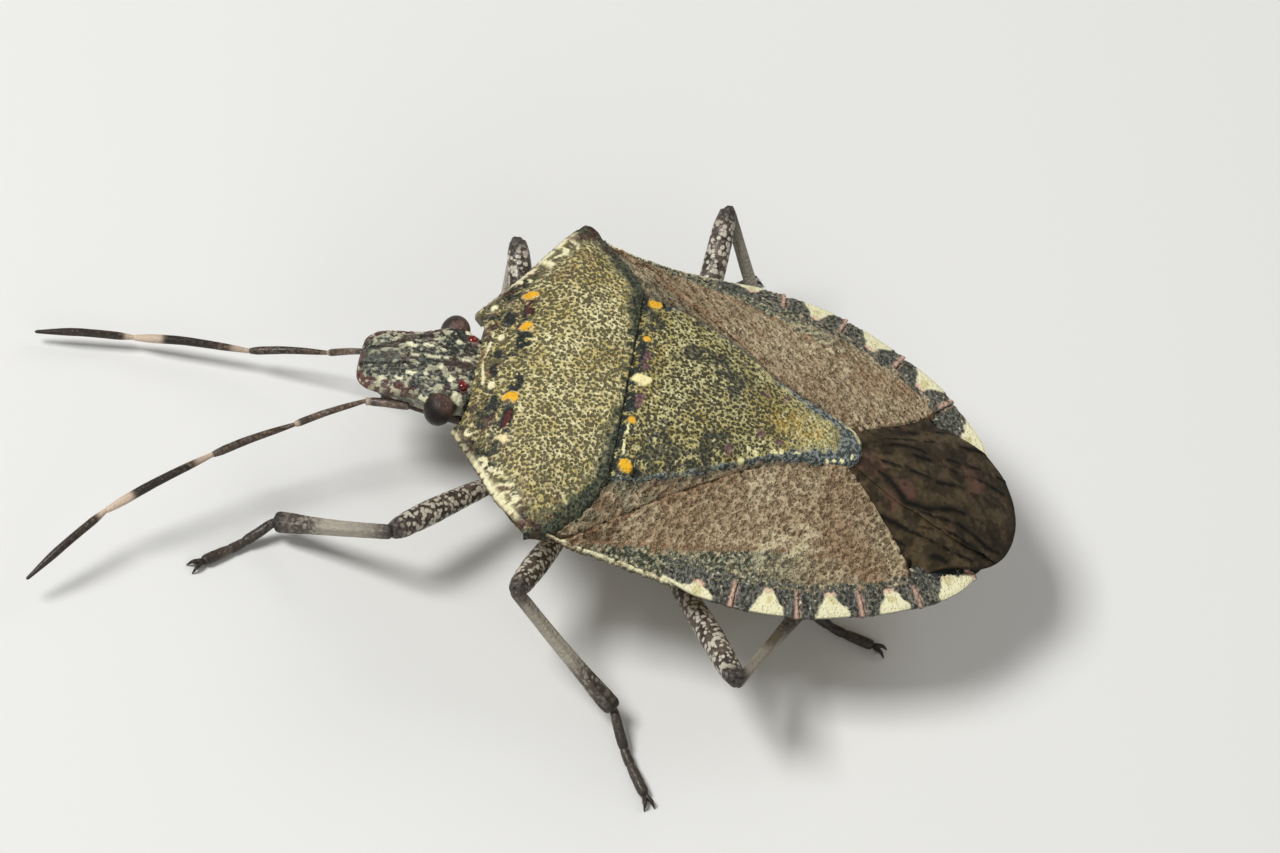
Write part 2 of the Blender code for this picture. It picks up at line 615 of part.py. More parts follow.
def build_rim(side_name, sign, root):
    """Add one side's rim of the abdomen, thin at its edge."""
    outer, inner = outline(-RIM_WIDTH), outline(-SEAM_HALF)
    stations = np.linspace(RIM_FRONT, RIM_REAR, RIM_STATIONS)
    rings = []
    for s in stations:
        index = int(np.argmin(abs(outer[:, 1] - s)))
        (x_out, s_out), (x_in, s_in) = outer[index], inner[index]
        top, bottom = edge_height(s_out), belly(x_in, s_in)
        rings.append([(sign * x_out, s_out, top),
                      (sign * x_out, s_out, top - RIM_EDGE_THICKNESS),
                      (sign * blend(x_in, x_out, 0.5), blend(s_in, s_out, 0.5),
                       blend(bottom, top - RIM_EDGE_THICKNESS, 0.5)),
                      (sign * x_in, s_in, bottom),
                      (sign * x_in, s_in, back(x_in, s_in) - RIM_SUNK)])
    loft(f"connexivum_{side_name}", rings, "rim", root)


def hip_points(hip, knee):
    """Return the flat top of the coxa and the middle of the bend below it."""
    x, s = hip
    reach = FEMUR_RADII[0][1]
    lowest = min(belly(abs(x) + dx, s + ds) for dx in (-reach, 0, reach) for ds in (-reach, 0, reach))
    root_point = Vector((x, s, lowest - SEAM))
    outwards = Vector((knee[0] - x, knee[1] - s, 0)).normalized()
    return root_point, root_point + outwards * HIP_REACH + Vector((0, 0, -HIP_DEPTH))


def bent_path(start, bend, end, count):
    """Return points from start, round a soft bend, to end, closer together at the bend."""
    start, bend, end = Vector(start), Vector(bend), Vector(end)
    after = bend + (end - bend).normalized() * HIP_DEPTH * HIP_TURN
    turn = [start.lerp(bend, t).lerp(bend.lerp(after, t), t) for t in shares_of(HIP_RINGS)]
    return turn + straight(after, end, shares_of(count - HIP_RINGS + 1)[1:])


def build_leg(name, hip, knee, ankle, toe, root):
    """Add a leg: coxa and femur, tibia, and the tarsus with its claws."""
    coxa_top, bend = hip_points(hip, knee)
    femur_path = bent_path(coxa_top, bend, knee, FEMUR_RINGS)
    radii = [femur_radius(share) for share in shares_of(len(femur_path))]
    loft(f"femur_{name}", tube_rings(femur_path, radii, LEG_SIDES), "leg", root)

    gap = joint_gap(bend, knee, ankle, FEMUR_RADII[-1][1], TIBIA_RADII[0][1])
    start = Vector(knee) + (Vector(ankle) - Vector(knee)).normalized() * gap
    shares = shares_of(TIBIA_RINGS)
    radii = [tibia_radius(share) for share in shares]
    loft(f"tibia_{name}", tube_rings(straight(start, ankle, shares), radii, LEG_SIDES),
         "leg", root)

    gap = joint_gap(knee, ankle, toe, TIBIA_RADII[-1][1], TARSUS_RADII[0][1])
    start = Vector(ankle) + (Vector(toe) - Vector(ankle)).normalized() * gap
    build_tarsus(name, start, Vector(toe), root)


def build_tarsus(name, start, toe, root):
    """Add a three-part tarsus with two claws, flat where it stands on the floor."""
    shares = [share for share, _ in TARSUS_RADII]
    radii = [radius for _, radius in TARSUS_RADII]
    path = straight(start, toe, shares)
    settle_from, settle_to = TARSUS_SETTLING
    for point, share in zip(path, shares):
        point.z = blend(point.z, toe.z, clamp((share - settle_from) / (settle_to - settle_from)))
    tarsus = loft(f"tarsus_{name}", tube_rings(path, radii, TARSUS_SIDES), "leg", root)
    ahead = (toe - start) * Vector((1, 1, 0))
    ahead.normalize()
    claws = []
    for turn in (-CLAW_SPREAD, CLAW_SPREAD):
        way = Matrix.Rotation(turn, 3, "Z") @ ahead
        base = toe - ahead * CLAW_ROOT_DEPTH
        tip = toe + way * CLAW_LENGTH
        middle = base.lerp(tip, 0.6) + Vector((0, 0, CLAW_ARCH))
        tip.z = FLOOR + CLAW_TIP_RADIUS
        claws.append(tube_rings([base, middle, tip],
                                [CLAW_RADIUS, CLAW_RADIUS, CLAW_TIP_RADIUS], CLAW_SIDES))
    fuse_into(tarsus, claws)


def fuse_into(node, lofts):
    """Fuse more lofts into a node and flatten what would pass the floor."""
    collection = bpy.data.collections.new("fused")
    for rings in lofts:
        bm = bmesh.new()
        add_loft(bm, rings)
        bmesh.ops.recalc_face_normals(bm, faces=bm.faces[:])
        mesh = bpy.data.meshes.new("claw")
        bm.to_mesh(mesh)
        bm.free()
        collection.objects.link(bpy.data.objects.new("claw", mesh))
    union = node.modifiers.new("claws", "BOOLEAN")
    union.operation = "UNION"
    union.operand_type = "COLLECTION"
    union.collection = collection
    union.solver = "EXACT"
    bpy.context.view_layer.update()
    evaluated = node.evaluated_get(bpy.context.evaluated_depsgraph_get())
    fused = bpy.data.meshes.new_from_object(evaluated)
    node.modifiers.clear()
    node.data = fused
    for piece in list(collection.objects):
        bpy.data.objects.remove(piece)
    bpy.data.collections.remove(collection)
    for vert in fused.vertices:
        vert.co.z = max(vert.co.z, FLOOR * MM)


def build_antenna(side_name, ends, root):
    """Add an antenna's five segments, each clear of the last by the seam."""
    for index, (start, end) in enumerate(zip(ends[:-1], ends[1:])):
        begin, finish_point = Vector(start), Vector(end)
        radius_start, radius_end = ANTENNA_RADII[index]
        if index:
            gap = joint_gap(ends[index - 1], start, end, ANTENNA_RADII[index - 1][1], radius_start)
            begin += (finish_point - begin).normalized() * gap
        shares = shares_of(ANTENNA_RINGS)
        swelling = ANTENNA_SWELLING if radius_end > radius_start else 1
        radii = [blend(radius_start, radius_end, clamp(swelling * share)) for share in shares]
        rings = tube_rings(straight(begin, finish_point, shares), radii, ANTENNA_SIDES)
        loft(f"antenna_{side_name}_{index + 1}", rings, "antenna", root)


def stand_on_floor(root):
    """Move the model so that it is centred over the origin with its feet on z = 0."""
    corners = np.array([vertex.co for node in root.children for vertex in node.data.vertices])
    low, high = corners.min(axis=0), corners.max(axis=0)
    root.location = (-(low[0] + high[0]) / 2, -(low[1] + high[1]) / 2, -low[2])


def main():
    """Clear the scene and build the animal."""
    for item in list(bpy.data.objects):
        bpy.data.objects.remove(item)
    root = bpy.data.objects.new("shield_bug", None)
    bpy.context.scene.collection.objects.link(root)
    build_head(root)
    build_rostrum(root)
    build_pronotum(root)
    build_scutellum(root)
    build_thorax(root)
    build_abdomen(root)
    for side_name, sign in (("left", 1), ("right", -1)):
        build_eye(side_name, sign, root)
        build_corium(side_name, sign, root)
        build_rim(side_name, sign, root)
        build_antenna(side_name, ANTENNAE[side_name], root)
    build_membrane("right", MEMBRANE_RIGHT_VEINS, root)
    build_membrane("left", MEMBRANE_LEFT_VEINS, root)
    for name, (hip, knee, ankle, toe) in LEGS.items():
        build_leg(name, hip, knee, ankle, toe, root)
    stand_on_floor(root)


main()
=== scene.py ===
"""Brown marmorated stink bug, finished as a still, life-size model.

The animal is measured in millimetres: x runs across the body with the animal's left positive,
the station s runs from the tip of the head towards the tail, and z is the height over the edge
of the abdomen. Body.to_world turns a measured point into the frame's metres.
"""

import logging
import math
from contextlib import contextmanager
from dataclasses import dataclass, field
from enum import Enum
from typing import Callable, Iterator, Sequence

import bpy
import numpy as np
from mathutils import Matrix, Vector

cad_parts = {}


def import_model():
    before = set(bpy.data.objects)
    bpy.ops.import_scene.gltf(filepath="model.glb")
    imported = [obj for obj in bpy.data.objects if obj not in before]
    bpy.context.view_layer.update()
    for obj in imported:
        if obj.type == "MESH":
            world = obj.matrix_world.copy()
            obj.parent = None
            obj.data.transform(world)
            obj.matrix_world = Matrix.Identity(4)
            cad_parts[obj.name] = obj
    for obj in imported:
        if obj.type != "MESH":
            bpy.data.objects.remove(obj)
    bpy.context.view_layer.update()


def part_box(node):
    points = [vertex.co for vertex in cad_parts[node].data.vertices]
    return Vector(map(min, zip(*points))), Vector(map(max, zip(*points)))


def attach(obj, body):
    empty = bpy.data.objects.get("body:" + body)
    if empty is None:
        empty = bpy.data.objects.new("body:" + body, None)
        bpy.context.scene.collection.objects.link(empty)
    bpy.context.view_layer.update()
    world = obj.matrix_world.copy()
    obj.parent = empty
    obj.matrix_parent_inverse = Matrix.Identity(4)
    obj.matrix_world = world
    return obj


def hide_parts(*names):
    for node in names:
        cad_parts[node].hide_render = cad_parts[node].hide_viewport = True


Array = np.ndarray
Colour = tuple[float, float, float]
Marks = dict[str, Array]

MM = 0.001
SMOOTH_ANGLE = math.radians(55)
DARK_MARKS = ("pit", "streak")
LOG = logging.getLogger("stink_bug")


class Side(Enum):
    """The two sides of the animal, with the sign of x on each."""

    LEFT = 1
    RIGHT = -1

    @property
    def word(self) -> str:
        """Return the side's name as the nodes spell it."""
        return self.name.lower()


class Curve:
    """A smooth curve through (position, value) knots, which doesn't overshoot them."""

    def __init__(self, *knots: tuple[float, float]) -> None:
        """Work out the slopes at the knots.

        Args:
            knots: positions in rising order, each with its value.
        """
        self.at, self.value = np.array(knots, dtype=float).T
        rise = np.diff(self.value) / np.diff(self.at)
        product, total = rise[:-1] * rise[1:], rise[:-1] + rise[1:]
        inner = np.where(product > 0, 2 * product / np.where(total == 0, 1, total), 0)
        self.slope = np.concatenate(([rise[0]], inner, [rise[-1]]))

    def __call__(self, position: Array | float) -> Array:
        """Return the curve's value at each position, held at its ends beyond them."""
        position = np.clip(position, self.at[0], self.at[-1])
        left = np.clip(np.searchsorted(self.at, position, side="right") - 1, 0, len(self.at) - 2)
        run = self.at[left + 1] - self.at[left]
        t = (position - self.at[left]) / run
        start = (1 + 2 * t) * self.value[left] + t * run * self.slope[left]
        end = (3 - 2 * t) * self.value[left + 1] + (t - 1) * run * self.slope[left + 1]
        return (1 - t) ** 2 * start + t * t * end


def clamp(value: Array) -> Array:
    """Return values held between 0 and 1."""
    return np.clip(value, 0.0, 1.0)


def blend(low: Array | float, high: Array | float, share: Array | float) -> Array:
    """Return the value a share of the way from low to high."""
    return low + (high - low) * share


def peak(distance: Array, radius: float) -> Array:
    """Return a smooth bump of height 1 at distance 0, which dies out past its radius."""
    return np.exp(-(distance / radius) ** 2)


def rise(low: float, high: float, value: Array) -> Array:
    """Return a smooth step from 0 at low to 1 at high."""
    t = clamp((value - low) / (high - low))
    return t * t * (3 - 2 * t)


def spot(x: Array, s: Array, centre: tuple[float, float], radii: tuple[float, float],
         turn: float = 0.0) -> Array:
    """Return the mask of an oval spot with a fairly crisp edge.

    Args:
        x: places across the body.
        s: stations.
        centre: the spot's middle, as (x, s).
        radii: its half axes along x and s before it is turned.
        turn: radians by which it is turned.

    Returns:
        1 inside the spot and 0 outside it.
    """
    dx, ds = x - centre[0], s - centre[1]
    across = (dx * math.cos(turn) + ds * math.sin(turn)) / radii[0]
    along = (ds * math.cos(turn) - dx * math.sin(turn)) / radii[1]
    return 1 - rise(0.75, 1.2, np.hypot(across, along))


def distance_to(x: Array, s: Array, line: Sequence[tuple[float, float]]) -> Array:
    """Return the distance from each place to a line through (x, s) points."""
    best = np.full(np.shape(x), 9.0)
    for (ax, as_), (bx, bs) in zip(line[:-1], line[1:]):
        run = (bx - ax) ** 2 + (bs - as_) ** 2
        share = clamp(((x - ax) * (bx - ax) + (s - as_) * (bs - as_)) / run)
        best = np.minimum(best, np.hypot(x - ax - share * (bx - ax), s - as_ - share * (bs - as_)))
    return best


class Scatter:
    """Small things scattered evenly over a surface, one in each cell of a shaken grid."""

    TABLE = 128

    def __init__(self, spacing: float, seed: int) -> None:
        """Draw the places of the things.

        Args:
            spacing: mean distance from one to the next.
            seed: of the random draw.
        """
        self.spacing = spacing
        self.draw = np.random.default_rng(seed).random((self.TABLE, self.TABLE, 3))

    def nearest(self, x: Array, y: Array) -> tuple[Array, Array]:
        """Return the distance to the nearest thing, in spacings, and that thing's own number."""
        gx, gy = x / self.spacing, y / self.spacing
        column, row = np.floor(gx).astype(int), np.floor(gy).astype(int)
        best = np.full(gx.shape, 9.0)
        number = np.zeros(gx.shape)
        for i in (-1, 0, 1):
            for j in (-1, 0, 1):
                thing = self.draw[(column + i) % self.TABLE, (row + j) % self.TABLE]
                distance = np.hypot(column + i + thing[..., 0] - gx, row + j + thing[..., 1] - gy)
                closer = distance < best
                best = np.where(closer, distance, best)
                number = np.where(closer, thing[..., 2], number)
        return best, number


class Mottle:
    """Soft random patches, with values from about 0 to 1."""

    TABLE = 64
    OCTAVES = 3

    def __init__(self, size: float, seed: int) -> None:
        """Draw the patches.

        Args:
            size: of the largest patches.
            seed: of the random draw.
        """
        self.size = size
        self.draw = np.random.default_rng(seed).random((self.TABLE, self.TABLE))

    def __call__(self, x: Array, y: Array) -> Array:
        """Return the patches' value at each place."""
        total, weight, scale = np.zeros(np.shape(x)), 0.0, 1.0
        for _ in range(self.OCTAVES):
            gx, gy = x * scale / self.size, y * scale / self.size
            i, j = np.floor(gx).astype(int), np.floor(gy).astype(int)
            tx, ty = rise(0, 1, gx - i), rise(0, 1, gy - j)
            corner = [[self.draw[(i + a) % self.TABLE, (j + b) % self.TABLE] for b in (0, 1)]
                      for a in (0, 1)]
            value = blend(blend(corner[0][0], corner[1][0], tx),
                          blend(corner[0][1], corner[1][1], tx), ty)
            total += value / scale
            weight += 1 / scale
            scale *= 2
        return rise(0.2, 0.8, total / weight)


@dataclass
class Body:
    """The animal's main form, which its plates are laid on.

    The curves repeat those of the solids, so that every piece sits where its node does.
    """

    origin: Vector
    half_width: Curve = Curve(
        (2.22, 1.63), (3.2, 2.95), (4.22, 4.33), (4.75, 4.12), (6.0, 4.13), (7.4, 4.22),
        (8.9, 4.27), (10.2, 4.12), (11.3, 3.75), (12.66, 3.08), (13.82, 2.1), (14.35, 1.2),
        (14.6, 0.35))
    midline_height: Curve = Curve(
        (2.3, 0.42), (3.2, 0.86), (4.4, 1.18), (5.7, 1.36), (7.2, 1.42), (9.0, 1.28),
        (11.07, 0.94), (12.6, 0.5), (13.9, -0.06), (14.96, -0.56))
    edge_height: Curve = Curve(
        (2.22, 0.0), (3.2, 0.25), (4.22, 0.7), (5.0, 0.46), (6.4, 0.24), (8.2, 0.13),
        (10.5, 0.05), (12.66, -0.07), (13.9, -0.25), (14.96, -0.6))
    roundness: Curve = Curve(
        (2.3, 2.0), (5.7, 2.5), (9.0, 2.0), (11.0, 1.7), (12.7, 1.3), (14.9, 1.3))
    belly_midline: Curve = Curve(
        (2.4, -1.25), (4.0, -1.4), (6.0, -1.5), (8.0, -1.9), (10.0, -2.08), (12.0, -1.98),
        (13.4, -1.78), (14.6, -1.45))
    belly_roundness: float = 2.3
    belly_edge_drop: float = 0.1
    costal_margin: float = 0.06
    rim_width: float = 0.5
    rim_start: float = 7.35
    rim_full: float = 9.2
    outline_front: float = 4.6
    outline_points: int = 400

    def across(self, x: Array, s: Array) -> Array:
        """Return how far out a place lies, from 0 on the midline to 1 at the edge."""
        return np.minimum(np.abs(x) / self.half_width(s), 1.0)

    def back(self, x: Array, s: Array) -> Array:
        """Return the height of the back."""
        return blend(self.midline_height(s), self.edge_height(s),
                     self.across(x, s) ** self.roundness(s))

    def belly(self, x: Array, s: Array) -> Array:
        """Return the height of the underside."""
        return blend(self.belly_midline(s), self.edge_height(s) - self.belly_edge_drop,
                     self.across(x, s) ** self.belly_roundness)

    def rim(self, s: Array) -> Array:
        """Return how much of the abdomen's rim shows beside the wing."""
        return blend(self.costal_margin, self.rim_width, rise(self.rim_start, self.rim_full, s))

    def outline(self, inset: Callable[[Array], Array]) -> Array:
        """Return points (x, s) of the left outline, moved in by an inset.

        Args:
            inset: gives the distance inwards at each station.

        Returns:
            One row for each of the outline's points.
        """
        s = np.linspace(self.outline_front, self.half_width.at[-1], self.outline_points)
        edge = np.column_stack((self.half_width(s), s))
        along = np.gradient(edge, axis=0)
        along /= np.linalg.norm(along, axis=1)[:, None]
        inwards = np.column_stack((-along[:, 1], along[:, 0]))
        return edge + inwards * inset(s)[:, None]

    def half_width_inside(self, inset: Callable[[Array], Array]) -> Callable[[Array], Array]:
        """Return the half width inside an inset outline, as a function of the station."""
        points = self.outline(inset)
        return lambda s: np.interp(s, points[:, 1], points[:, 0])

    def to_world(self, points: Array) -> Array:
        """Turn measured points (x, s, z) into metres in the frame."""
        return (np.asarray(points, dtype=float) + np.array(self.origin)) * MM


def select_only(piece: bpy.types.Object) -> None:
    """Select one object and make it the active one."""
    bpy.ops.object.select_all(action="DESELECT")
    piece.select_set(True)
    bpy.context.view_layer.objects.active = piece


@contextmanager
def editing(piece: bpy.types.Object, mode: str = "VERT") -> Iterator[None]:
    """Hold a piece in edit mode with everything deselected.

    Args:
        piece: the object to edit.
        mode: what is selected there: VERT, EDGE or FACE.
    """
    select_only(piece)
    bpy.ops.object.mode_set(mode="EDIT")
    bpy.ops.mesh.select_mode(type=mode)
    bpy.ops.mesh.select_all(action="DESELECT")
    yield
    bpy.ops.object.mode_set(mode="OBJECT")


def vertices_of(piece: bpy.types.Object) -> Array:
    """Return a piece's vertices, one row each."""
    points = np.empty(len(piece.data.vertices) * 3)
    piece.data.vertices.foreach_get("co", points)
    return points.reshape(-1, 3)


def move_vertices(piece: bpy.types.Object, points: Array) -> None:
    """Put a piece's vertices at the points given, one row each."""
    piece.data.vertices.foreach_set("co", np.ascontiguousarray(points).ravel())
    piece.data.update()


def paint(piece: bpy.types.Object, marks: Marks) -> None:
    """Write each mark on a piece's vertices, as an attribute that its finish reads.

    Args:
        piece: the object to paint.
        marks: each mark's values on the first vertices; those added after them turn dark.
    """
    for name, values in marks.items():
        layer = piece.data.attributes.new(name, "FLOAT", "POINT")
        added = len(layer.data) - len(values)
        values = np.pad(clamp(values), (0, added), constant_values=float(name in DARK_MARKS))
        layer.data.foreach_set("value", np.ascontiguousarray(values, dtype=np.float32))


def add_sheet(name: str, columns: int, rows: int) -> bpy.types.Object:
    """Add a flat sheet of cells from (0, 0) to (1, 1).

    Args:
        name: of the piece.
        columns: cells along x.
        rows: cells along y.

    Returns:
        The new object, at the origin.
    """
    bpy.ops.object.select_all(action="DESELECT")
    bpy.ops.mesh.primitive_grid_add(x_subdivisions=columns, y_subdivisions=rows, size=1.0)
    sheet = bpy.context.active_object
    sheet.name = sheet.data.name = name
    move_vertices(sheet, vertices_of(sheet) + (0.5, 0.5, 0.0))
    return sheet


def add_tube(name: str, sides: int, rings: int) -> bpy.types.Object:
    """Add an open tube of radius 1 from z = 0 to z = 1, cut into rings of cells.

    Args:
        name: of the piece.
        sides: cells round the tube.
        rings: cells along it.

    Returns:
        The new object, at the origin.
    """
    bpy.ops.object.select_all(action="DESELECT")
    bpy.ops.mesh.primitive_cylinder_add(vertices=sides, radius=1.0, depth=1.0,
                                        end_fill_type="NOTHING")
    tube = bpy.context.active_object
    tube.name = tube.data.name = name
    with editing(tube, "EDGE"):
        bpy.ops.object.mode_set(mode="OBJECT")
        for edge in tube.data.edges:
            low, high = (tube.data.vertices[i].co.z for i in edge.vertices)
            edge.select = abs(high - low) > 0.5
        bpy.ops.object.mode_set(mode="EDIT")
        bpy.ops.mesh.subdivide(number_cuts=rings - 1)
    move_vertices(tube, vertices_of(tube) + (0.0, 0.0, 0.5))
    return tube


def close_sheet(piece: bpy.types.Object, drop: float, tuck: float, inset: float) -> None:
    """Give a sheet a turned-down edge and close it underneath.

    Args:
        piece: a sheet that has been laid in its place.
        drop: height of the edge, in millimetres.
        tuck: share of its size to which the edge's lower side shrinks.
        inset: share of that to which the closing face shrinks.
    """
    centre = vertices_of(piece).mean(axis=0)
    with editing(piece, "EDGE"):
        bpy.ops.mesh.select_non_manifold(use_wire=False, use_boundary=True, use_multi_face=False,
                                         use_non_contiguous=False, use_verts=False)
        bpy.ops.mesh.extrude_edges_move(TRANSFORM_OT_translate={"value": (0, 0, -drop * MM)})
        bpy.ops.transform.resize(value=(tuck, tuck, 1.0), center_override=tuple(centre))
        bpy.ops.mesh.extrude_edges_move(TRANSFORM_OT_translate={"value": (0, 0, 0)})
        bpy.ops.transform.resize(value=(inset, inset, 1.0), center_override=tuple(centre))
        bpy.ops.mesh.edge_face_add()
        bpy.ops.mesh.select_all(action="SELECT")
        bpy.ops.mesh.normals_make_consistent(inside=False)


def close_poles(piece: bpy.types.Object) -> None:
    """Merge the rings that were drawn together to a point, and turn the faces outwards."""
    with editing(piece):
        bpy.ops.mesh.select_all(action="DESELECT")
        bpy.ops.mesh.select_non_manifold()
        bpy.ops.mesh.remove_doubles(threshold=1e-6)
        bpy.ops.mesh.select_all(action="SELECT")
        bpy.ops.mesh.normals_make_consistent(inside=False)


def join(pieces: Sequence[bpy.types.Object], name: str) -> bpy.types.Object:
    """Join pieces into one object.

    Args:
        pieces: objects at the origin.
        name: of the joined piece.

    Returns:
        The first piece, which now holds all of them.
    """
    select_only(pieces[0])
    for piece in pieces[1:]:
        piece.select_set(True)
    bpy.ops.object.join()
    pieces[0].name = pieces[0].data.name = name
    return pieces[0]


def finish_piece(piece: bpy.types.Object, material: bpy.types.Material,
                 nodes: Sequence[str]) -> bpy.types.Object:
    """Shade a piece, dress it and put it in the place of its nodes.

    Args:
        piece: the finished shape.
        material: its finish.
        nodes: the nodes that it stands for.

    Returns:
        The piece.
    """
    select_only(piece)
    bpy.ops.object.shade_smooth_by_angle(angle=SMOOTH_ANGLE)
    piece.data.materials.clear()
    piece.data.materials.append(material)
    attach(piece, "root")
    if nodes:
        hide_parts(*nodes)
    LOG.info("%s: %d faces", piece.name, len(piece.data.polygons))
    return piece


class Graph:
    """A node tree that grows by short calls, most of which return a socket."""

    def __init__(self, tree: bpy.types.NodeTree) -> None:
        """Start on a tree."""
        self.tree = tree

    def node(self, kind: str, **settings: object) -> bpy.types.Node:
        """Add a node and set its properties."""
        node = self.tree.nodes.new(kind)
        for name, value in settings.items():
            setattr(node, name, value)
        return node

    def feed(self, socket: bpy.types.NodeSocket, value: object) -> None:
        """Link a socket to another one, or set its constant."""
        if isinstance(value, bpy.types.NodeSocket):
            self.tree.links.new(value, socket)
        elif isinstance(value, tuple) and socket.type == "RGBA":
            socket.default_value = (*value, 1.0)
        else:
            socket.default_value = value

    def mix(self, share: object, low: object, high: object) -> bpy.types.NodeSocket:
        """Return a colour a share of the way from low to high."""
        node = self.node("ShaderNodeMix", data_type="RGBA")
        for index, value in ((0, share), (6, low), (7, high)):
            self.feed(node.inputs[index], value)
        return node.outputs[2]

    def maths(self, operation: str, *values: object) -> bpy.types.NodeSocket:
        """Return the result of a Math node."""
        node = self.node("ShaderNodeMath", operation=operation)
        for socket, value in zip(node.inputs, values):
            self.feed(socket, value)
        return node.outputs[0]

    def spread(self, value: object, low: float, high: float, to_low: float = 0.0,
               to_high: float = 1.0) -> bpy.types.NodeSocket:
        """Return a value mapped smoothly from one range to another and held inside it."""
        node = self.node("ShaderNodeMapRange", interpolation_type="SMOOTHSTEP")
        for index, item in enumerate((value, low, high, to_low, to_high)):
            self.feed(node.inputs[index], item)
        return node.outputs[0]

    def noise(self, vector: object, scale: object, detail: float = 2.0) -> bpy.types.NodeSocket:
        """Return a noise value at a scale per metre."""
        node = self.node("ShaderNodeTexNoise")
        self.feed(node.inputs["Vector"], vector)
        self.feed(node.inputs["Scale"], scale)
        self.feed(node.inputs["Detail"], detail)
        return node.outputs["Fac"]

    def cells(self, vector: object, scale: object, feature: str = "F1") -> bpy.types.Node:
        """Return a Voronoi node at a scale per metre."""
        node = self.node("ShaderNodeTexVoronoi", feature=feature)
        self.feed(node.inputs["Vector"], vector)
        self.feed(node.inputs["Scale"], scale)
        return node

    def attribute(self, name: str) -> bpy.types.NodeSocket:
        """Return a mark that was painted on the piece."""
        return self.node("ShaderNodeAttribute", attribute_name=name).outputs["Fac"]

    def place(self) -> bpy.types.NodeSocket:
        """Return the place on the piece, in metres."""
        return self.node("ShaderNodeTexCoord").outputs["Object"]

    def group(self, tree: bpy.types.NodeTree, **values: object) -> bpy.types.NodeOutputs:
        """Add a shared group with its own values and return its outputs."""
        node = self.node("ShaderNodeGroup", node_tree=tree)
        for name, value in values.items():
            self.feed(node.inputs[name.replace("_", " ").capitalize()], value)
        return node.outputs


FLOAT = "NodeSocketFloat"
VECTOR = "NodeSocketVector"
COLOUR = "NodeSocketColor"


def shared_group(name: str, inputs: dict[str, str], outputs: dict[str, str],
                 fill: Callable[[Graph, bpy.types.NodeInputs], dict[str, object]]
                 ) -> bpy.types.NodeTree:
    """Return a shader node group, built on its first use.

    Args:
        name: of the group.
        inputs: socket names with their kinds.
        outputs: socket names with their kinds.
        fill: adds the nodes, given the graph and the inputs, and returns what each output shows.

    Returns:
        The group's tree.
    """
    tree = bpy.data.node_groups.get(name)
    if tree:
        return tree
    tree = bpy.data.node_groups.new(name, "ShaderNodeTree")
    for direction, sockets in (("INPUT", inputs), ("OUTPUT", outputs)):
        for label, kind in sockets.items():
            tree.interface.new_socket(name=label, in_out=direction, socket_type=kind)
    graph = Graph(tree)
    entry, end = graph.node("NodeGroupInput"), graph.node("NodeGroupOutput")
    for label, value in fill(graph, entry.outputs).items():
        graph.feed(end.inputs[label], value)
    return tree


def fleck_group() -> bpy.types.NodeTree:
    """Return the group for tiny pits: a mask of their floors and a height for the bump."""
    def fill(graph: Graph, given: bpy.types.NodeInputs) -> dict[str, object]:
        distance = graph.cells(given["Place"], given["Scale"]).outputs["Distance"]
        mask = graph.spread(distance, 0.5, 0.2)
        grain = graph.noise(given["Place"], graph.maths("MULTIPLY", given["Scale"], 2.5))
        height = graph.maths("SUBTRACT", graph.maths("MULTIPLY", grain, 0.5), mask)
        return {"Mask": mask, "Height": height}

    return shared_group("tiny pits", {"Place": VECTOR, "Scale": FLOAT},
                        {"Mask": FLOAT, "Height": FLOAT}, fill)


def patch_group() -> bpy.types.NodeTree:
    """Return the group for uneven tone: soft patches broken up by finer ones."""
    def fill(graph: Graph, given: bpy.types.NodeInputs) -> dict[str, object]:
        broad = graph.noise(given["Place"], given["Scale"], 3.0)
        fine = graph.noise(given["Place"], graph.maths("MULTIPLY", given["Scale"], 6.0), 1.0)
        both = graph.maths("ADD", graph.maths("MULTIPLY", broad, 0.6),
                           graph.maths("MULTIPLY", fine, 0.4))
        return {"Mask": graph.spread(both, 0.36, 0.64)}

    return shared_group("uneven tone", {"Place": VECTOR, "Scale": FLOAT}, {"Mask": FLOAT}, fill)


def add_bump(graph: Graph, shader: bpy.types.Node, height: object, depth: float) -> None:
    """Feed a height, in units of a depth in millimetres, to the shader's normal."""
    bump = graph.node("ShaderNodeBump")
    bump.inputs["Distance"].default_value = depth * MM
    graph.feed(bump.inputs["Height"], height)
    graph.feed(shader.inputs["Normal"], bump.outputs["Normal"])


@dataclass(frozen=True)
class Finish:
    """A surface finish, made into a material the first time that it is needed."""

    name: str

    def material(self) -> bpy.types.Material:
        """Return the finish as a material."""
        title = f"{self.name} finish"
        material = bpy.data.materials.get(title)
        if material is None:
            material = bpy.data.materials.new(title)
            material.use_nodes = True
            self.dress(Graph(material.node_tree), material.node_tree.nodes["Principled BSDF"])
        return material

    def dress(self, graph: Graph, shader: bpy.types.Node) -> None:
        """Add the finish's nodes."""
        raise NotImplementedError


